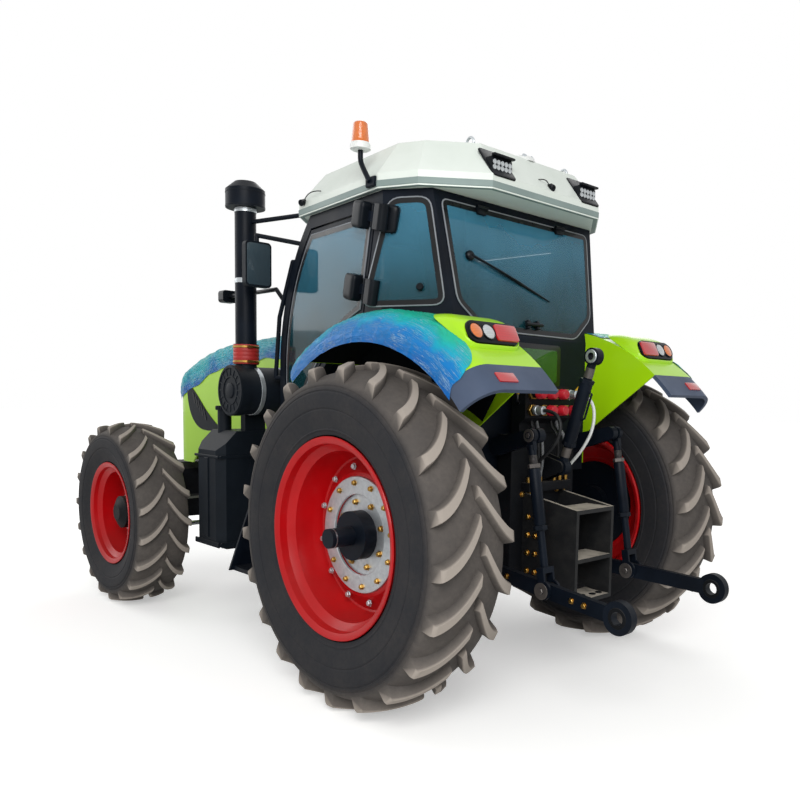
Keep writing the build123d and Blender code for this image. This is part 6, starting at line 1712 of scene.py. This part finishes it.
@dataclass
class Linkage:
    """Fittings of the three-point linkage: sleeves, washers, ball ends and bolts."""

    rod_pin: tuple = (-717.0, 372.0, 623.0)
    arm_end: tuple = (-584.0, 372.0, 1400.0)
    link_pivot: tuple = (-150.0, 300.0, 655.0)
    link_end: tuple = (-1205.0, 434.0, 595.0)
    top_pivot: tuple = (-495.0, 0.0, 1215.0)
    top_end: tuple = (-688.0, 0.0, 1817.0)

    def build(self) -> None:
        """Makes the fittings of the links, rods, arms and hitch frame."""
        self.build_rods()
        self.build_links()
        self.build_top_link()
        self.build_frame()

    @staticmethod
    def on(side: Side, place: tuple) -> Array:
        """A left-hand place, moved to a side."""
        station, y, z = place
        return at(station, side.value * y, z)

    def build_rods(self) -> None:
        """Turns the screwed sleeves of the lift rods, with their threads and lock collars."""
        sleeves, bright = [], []
        for side in Side:
            top = self.on(side, self.arm_end)
            down = unit(self.on(side, self.rod_pin) - top)
            profile = [
                (0.17, 0.020), (0.17, 0.0275), (0.18, 0.031),
                (0.45, 0.031), (0.46, 0.0275), (0.46, 0.020),
            ]
            sleeves.append(lathe(profile, top, down, 32, closed=True))
            sleeves.append(ring(0.02, 0.037, 0.46, 0.485, top, down, 6))
            threads = np.linspace(0.10, 0.168, 60)
            groove = 0.0215 + 0.0012 * np.sin(threads * 2 * math.pi / 0.006)
            bright.append(lathe(np.stack([threads, groove], -1), top, down, 24))
            bright.append(ring(0.02, 0.033, 0.145, 0.168, top, down, 6))
        put(sleeves, "rod_sleeves", BLACK, "lift_rod_pair")
        put(bright, "rod_threads", EXHAUST, "lift_rod_pair")

    def build_links(self) -> None:
        """Sets ball races in the link ends, washers on the pins and bolts on the links."""
        races, washers, bolts, heads = [], [], [], []
        for side in Side:
            out = side.out
            end = self.on(side, self.link_end)
            races.append(ring(0.0322, 0.052, -0.0245, 0.0245, end, out, 48))
            pin = self.on(side, self.rod_pin)
            for way in (out, -out):
                washers.append(ring(0.0178, 0.043, 0.0438, 0.048, pin, way, 36))
                nut = [(0.048, 0.0178), (0.053, 0.0178), (0.056, 0.014), (0.056, 0.0)]
                washers.append(lathe(nut, pin, way, 6))
            share = np.array([0.18, 0.26, 0.72, 0.8])
            first = self.on(side, self.link_pivot)
            row = first + share[:, None] * (end - first) + out * 0.0172
            bolts.append(bolt_heads(row, out, 0.013, 0.012))
            spot = self.on(side, self.arm_end)
            heads.append(ring(0.0165, 0.034, 0.0155, 0.020, spot, out, 36))
            nut = [(0.02, 0.0168), (0.024, 0.0168), (0.027, 0.013), (0.027, 0.0)]
            heads.append(lathe(nut, spot, out, 6))
        put(races, "link_ball_races", CASTING, "draft_links")
        put(washers, "rod_pin_washers", EXHAUST, "draft_links")
        put(bolts, "link_bolts", BRASS, "draft_links")
        put(heads, "arm_pin_washers", EXHAUST, "rockshaft")

    def build_top_link(self) -> None:
        """Turns the turnbuckle's threads, collars and ball end and lays its handle."""
        low, high = at(*self.top_pivot), at(*self.top_end)
        run = high - low
        length = np.linalg.norm(run)
        up = run / length
        screws = [ring(0.0242, 0.0255, a, a + 0.055, low, up, 32) for a in (0.062, length - 0.117)]
        put(screws, "top_link_screws", EXHAUST, "upper_link")
        ball = ring(0.020, 0.036, -0.031, 0.031, high, TO_LEFT, 40)
        put(ball, "top_link_ball", ZINC, "upper_link")
        starts = (length * 0.2, length * 0.8 - 0.022)
        collars = [ring(0.03, 0.041, a, a + 0.022, low, up, 6) for a in starts]
        grip, back = low + run * 0.56 + np.array([-0.037, 0, 0.0]), np.array([-0.02, 0, 0])
        bow = [grip - up * 0.08, grip - up * 0.07 + back, grip + up * 0.07 + back, grip + up * 0.08]
        collars.append(tube(bow, 0.006))
        put(collars, "top_link_collars", BLACK, "upper_link")

    def build_frame(self) -> None:
        """Bolts the hitch frame to the housing and rims its drilled plate."""
        bolts, rims = [], []
        for side in Side:
            out = side.out
            rows = [(s, side.value * 165.0, z) for s in (-400, -455) for z in (640, 740, 840, 940)]
            bolts.append(bolt_heads(places(*rows), out, 0.014, 0.013))
        spots = ((120, 1070), (178, 1060), (178, 600), (120, 585))
        face = [(-361, side.value * y, z) for side in Side for y, z in spots]
        bolts.append(bolt_heads(places(*face), TO_REAR, 0.013, 0.012))
        put(bolts, "hitch_bolts", BRASS)
        floor = [(0.0, 0.0), (0.0, 0.013), (0.0012, 0.013), (0.0012, 0.0)]
        for y in (-110, -55, 55, 110):
            hole = at(-690, y, 527)
            rims.append(ring(0.013, 0.020, 0.0, 0.003, hole, UP, 28))
            rims.append(lathe(floor, hole, UP, 28))
        put(rims, "plate_holes", SMOOTH_BLACK)


@dataclass
class Hydraulics:
    """Rear couplers with brass collars and red caps, their hoses and two yellow levers."""

    face: float = -380.0
    columns: tuple = (-142.5, -47.5, 47.5, 142.5)
    rows: tuple = (1525.0, 1615.0)

    def build(self) -> None:
        """Makes collars, caps, hoses and levers."""
        collars, caps, plugs = [], [], []
        cap = [
            (0.052, 0.0236), (0.052, 0.0285), (0.058, 0.0300), (0.064, 0.0285), (0.090, 0.0275),
            (0.096, 0.0235), (0.098, 0.0),
        ]
        plug = [
            (0.03, 0.0232), (0.034, 0.027), (0.05, 0.027), (0.054, 0.0235), (0.091, 0.0235),
            (0.093, 0.02), (0.093, 0.0),
        ]
        for y in self.columns:
            for z in self.rows:
                spot = at(self.face, y, z)
                collars.append(ring(0.0225, 0.034, 0.001, 0.022, spot, TO_REAR, 6))
                if abs(y) > 100 and (z < 1600) == (y > 0):
                    plugs.append(lathe(plug, spot, TO_REAR, 32))
                else:
                    caps.append(lathe(cap, spot, TO_REAR, 32))
        put(collars, "coupler_collars", BRASS)
        put(caps, "coupler_caps", RED_CAP)
        put(plugs, "hose_plugs", ZINC)
        self.build_hoses()
        self.build_levers()

    def build_hoses(self) -> None:
        """Lays the hoses from the couplers to a manifold on the gear housing, with ferrules."""
        left = (
            (-472, 142, 1525), (-546, 142, 1524), (-604, 150, 1456), (-586, 160, 1364),
            (-510, 166, 1284), (-436, 164, 1230), (-392, 160, 1180), (-390, 160, 1122),
        )
        right = (
            (-472, -142, 1615), (-542, -142, 1613), (-594, -150, 1546), (-576, -164, 1420),
            (-506, -170, 1310), (-432, -168, 1230), (-392, -163, 1185), (-390, -162, 1122),
        )
        hoses = [("left_loop_hose", 10.0, BLACK_HOSE, left), ("right_loop_hose", 9.0, WHITE, right)]
        for name, y, radius, finish in (
            ("left_drain_hose", 60, 8.0, GREY_HOSE),
            ("right_drain_hose", -60, 8.0, BLACK_HOSE),
            ("feed_hose", 108, 10.0, BLACK_HOSE),
            ("return_hose", -108, 10.0, GREY_HOSE),
        ):
            bulge = 24 + 0.2 * abs(y)
            sway = y + math.copysign(8, y)
            route = (
                (-352, y, 1486), (-355, y, 1432), (-364 - bulge, sway, 1392), (-374 - bulge, sway, 1300),
                (-368 - bulge, y, 1220), (-391, y, 1175), (-390, y, 1122),
            )
            hoses.append((name, radius, finish, route))
        ferrules = []
        for name, radius, finish, route in hoses:
            hose(route, radius, name, finish)
            sleeve = (radius + 0.6) * MM
            foot = [(0.006, sleeve), (0.034, sleeve), (0.034, sleeve + 0.003), (0.006, sleeve + 0.003)]
            ferrules.append(lathe(foot, at(*route[-1]), UP, 20, closed=True))
        put(ferrules, "hose_ferrules", BRASS)
        manifold = pad((0.366, 0.052), 0.006, at(-359, 0, 1102), TO_RIGHT, UP, 0.06, 0.004)
        put(manifold, "hose_manifold", CASTING)

    def build_levers(self) -> None:
        """Bends two levers out of the coupler block and dips their grips in yellow."""
        rods, grips = [], []
        for y, reach in ((196, 1.0), (-196, -1.0)):
            foot = at(-330, y - 8 * reach, 1560)
            knee = at(-352, y + 32 * reach, 1585)
            tip = at(-392, y + 62 * reach, 1650)
            rods.append(tube(rounded([foot, knee, tip]), 0.006))
            way = unit(tip - knee)
            run = [tip + way * step for step in (-0.045, -0.03, 0.012, 0.02)]
            grips.append(tube(run, [0.008, 0.011, 0.011, 0.007]))
        put(rods, "lever_rods", STEEL)
        put(grips, "lever_grips", YELLOW)


@dataclass
class BonnetTrim:
    """Black panels with slats on the bonnet's flanks."""

    thickness: float = 0.004
    slats: int = 5
    first: tuple = (3010, 1352)
    pitch: tuple = (52, 34)

    def build(self) -> None:
        """Makes a swept panel with slats on each flank."""
        corners = [
            (2760, 1290), (3010, 1420), (3230, 1590), (3390, 1665), (3395, 1560), (3330, 1390),
            (3180, 1280), (2960, 1262), (2760, 1290),
        ]
        outline, zero = rounded(corners, 8)[:-1], [BONNET_REAR, 0]
        slat = np.array([(0, 0), (26, 0), (66, 92), (40, 92)]) + self.first
        for side in Side:
            along = np.array([1.0, -side.value * BONNET_TAPER, 0.0])
            origin = at(BONNET_REAR, side.value * (BONNET_HALF + 0.3), 0)
            flat = (outline - zero) * MM
            turned = flat if side is Side.RIGHT else flat[::-1]
            depth, face = -side.value * self.thickness, origin + side.out * self.thickness
            panel = prism(turned, origin, along, UP, depth)
            put(panel, f"flank_panel_{side.word}", MOULDED, "bonnet_lid", 30)
            slats = []
            for k in range(self.slats):
                moved = (slat + k * np.array(self.pitch) - zero) * MM
                slats.append(prism(moved, face, along, UP, depth))
            put(slats, f"flank_slats_{side.word}", SMOOTH_BLACK, "bonnet_lid", 30)


# Studio


@dataclass
class Studio:
    """Camera at the photograph's place, soft lamps, pale floor and white surround.

    Attributes:
        eye: Place of the camera.
        yaw: Heading of the view from +X, in radians.
        pitch: Tilt of the view, in radians.
        roll: Roll of the view, in radians.
        focal_px: Focal length in pixels of an 800 pixel frame.
        centre_px: Pixel that the view's axis goes through.
        frame_px: Side of that frame.
        sensor: Width of the sensor in millimetres.
        lift: Light that the camera alone sees on the floor, near and far, so that it looks white.
        surround: Strength of the white surround as a light.
    """

    eye: tuple = (-4.5216, 3.3954, 1.5868)
    yaw: float = -0.791
    pitch: float = -0.0892
    roll: float = 0.0212
    focal_px: float = 783.66
    centre_px: tuple = (479.74, 467.83)
    frame_px: float = 800.0
    sensor: float = 36.0
    lift: tuple = (0.4, 0.72)
    surround: float = 0.42

    def build(self) -> None:
        """Makes the camera, the light and the floor."""
        self.build_camera()
        self.build_light()
        self.build_floor()

    def build_camera(self) -> None:
        """Sets the camera from the fitted heading, tilt and focal length."""
        cosp = math.cos(self.pitch)
        ahead = Vector((cosp * math.cos(self.yaw), cosp * math.sin(self.yaw), math.sin(self.pitch)))
        right = ahead.cross(Vector(UP)).normalized()
        up = right.cross(ahead)
        c, s = math.cos(self.roll), math.sin(self.roll)
        turned_right, turned_up = c * right + s * up, c * up - s * right
        data = bpy.data.cameras.new("camera")
        data.sensor_width = self.sensor
        data.lens = self.focal_px / self.frame_px * self.sensor
        data.shift_x = 0.5 - self.centre_px[0] / self.frame_px
        data.shift_y = self.centre_px[1] / self.frame_px - 0.5
        data.clip_end = 200.0
        camera = bpy.data.objects.new("camera", data)
        turn = Matrix((turned_right, turned_up, -ahead)).transposed().to_4x4()
        camera.matrix_world = Matrix.Translation(self.eye) @ turn
        bpy.context.scene.collection.objects.link(camera)
        bpy.context.scene.camera = camera

    def lamp(self, name: str, place: tuple, power: float, size: float) -> None:
        """Adds a soft square lamp, in watts and metres, that faces the tractor's middle."""
        data = bpy.data.lights.new(name, "AREA")
        data.energy = power
        data.size = size
        lamp = bpy.data.objects.new(name, data)
        lamp.location = place
        aim = Vector((0, 0, 1.2)) - Vector(place)
        lamp.rotation_euler = aim.to_track_quat("-Z", "Y").to_euler()
        bpy.context.scene.collection.objects.link(lamp)

    def build_light(self) -> None:
        """Sets a white surround that lights softly, with a key lamp and two weaker ones."""
        scene = bpy.context.scene
        scene.view_settings.view_transform = "Standard"
        world = bpy.data.worlds.new("surround")
        scene.world = world
        world.use_nodes = True
        nodes = Nodes(world.node_tree)
        seen = 0.0
        for ray in ("Is Camera Ray", "Is Glossy Ray", "Is Transmission Ray"):
            seen = nodes.add("Math", (seen, nodes.add("LightPath", output=ray)), operation="MAXIMUM")
        strength = nodes.add("MapRange", (seen, 0.0, 1.0, self.surround, 1.0))
        shade = nodes.add("Background", {"Color": "#FFFFFF", "Strength": strength})
        nodes.add("OutputWorld", {"Surface": shade})
        self.lamp("key", (-6.5, 5.5, 5.2), 460.0, 4.5)
        self.lamp("fill", (4.5, -6.0, 6.0), 160.0, 6.0)
        self.lamp("front", (7.5, 4.0, 5.0), 140.0, 5.0)

    def build_floor(self) -> None:
        """Lays a wide pale floor that keeps the tractor's shadow."""
        reach = 60.0
        corners = np.array([(-1, -1, 0), (1, -1, 0), (1, 1, 0), (-1, 1, 0)], float) * reach
        mesh = bpy.data.meshes.new("floor")
        mesh.from_pydata(corners.tolist(), [], [(0, 1, 2, 3)])
        floor = bpy.data.objects.new("floor", mesh)
        bpy.context.scene.collection.objects.link(floor)
        mesh.materials.append(new_material("pale_floor", self.floor_inputs))

    def floor_inputs(self, nodes: Nodes) -> dict:
        """Pale matt floor, lifted for the camera alone and more so far from the tractor."""
        spot = nodes.add("TexCoord", output="Object")
        away = nodes.add("VectorMath", (spot,), "Value", operation="LENGTH")
        seen = nodes.add("LightPath", output="Is Camera Ray")
        lift = nodes.add("MapRange", (away, 3.0, 9.0, *self.lift))
        return {
            "Emission Strength": nodes.add("Math", (seen, lift), operation="MULTIPLY"),
            "Emission Color": "#FFFFFF",
            "Base Color": "#F4F4F2",
            "Roughness": 0.9,
        }


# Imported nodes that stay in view, by finish
NODES_OF = (
    (LIME, "fender_left fender_right bonnet"), (SLATE, "fender_trim"), (ROOF_SKIN, "roof"),
    (CAB_PANE, "cab_glass door_left_glass door_right_glass"), (CLEAR, "headlamps"),
    (EXHAUST, "exhaust_stack"), (TROD, "hitch_frame"), (STEEL, "pto_shaft steering_rod"),
    (SMOOTH_BLACK, "door_hinges indicator_lamps"),
    (MOULDED, "cab_floor grille fuel_tank battery_box air_cleaner mirrors steering_console"),
    (BLACK, "cab_frame door_left_frame door_right_frame intake_stack cab_steps handrails"),
    (BLACK, "lower_links lift_arms lift_rods top_link steering_cylinder"),
    (BLACK, "rear_hub_left rear_hub_right"),
    (CASTING, "hydraulic_couplers transmission_housing rear_axle engine_block front_support"),
    (CASTING, "front_weights front_axle knuckle_left knuckle_right"),
    (CASTING, "front_hub_left front_hub_right"),
)


def finish_nodes(nodes: dict) -> None:
    """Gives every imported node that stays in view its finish."""
    for finish, names in NODES_OF:
        for name in names.split():
            mesh = nodes[name].data
            mesh.materials.clear()
            mesh.materials.append(finish.material())


REAR_DISC = [
    (0.066, 0.433), (0.02, 0.42), (-0.025, 0.405), (-0.03, 0.395), (0.005, 0.338),
    (0.018, 0.325), (0.022, 0.318), (0.022, 0.21),
]
FRONT_DISC = [
    (-0.03, 0.306), (-0.055, 0.298), (-0.062, 0.288), (-0.035, 0.238), (-0.026, 0.226),
    (-0.022, 0.218), (-0.022, 0.12),
]


def main() -> None:
    """Builds the tractor's dress in order."""
    logging.basicConfig(level=logging.INFO, format="%(name)s: %(message)s")
    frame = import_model()
    nodes = frame["nodes"]
    Studio().build()
    finish_nodes(nodes)
    for side in Side:
        Wheel("rear", side, 21, 0.4826, 0.215, REAR_DISC, (12, 0.352, 0.010)).build()
        Wheel("front", side, 19, 0.3556, 0.162, FRONT_DISC, (8, 0.170, -0.022)).build()
        RearHub(side).build()
        FenderFilm(side).build()
        TailCluster(side).build()
    BonnetFilm().build()
    BonnetTrim().build()
    WorkLamps().build()
    RoofFittings().build()
    CabTrim().build(nodes)
    IntakeSide().build()
    Linkage().build()
    Hydraulics().build()


if __name__ == "__main__":
    main()
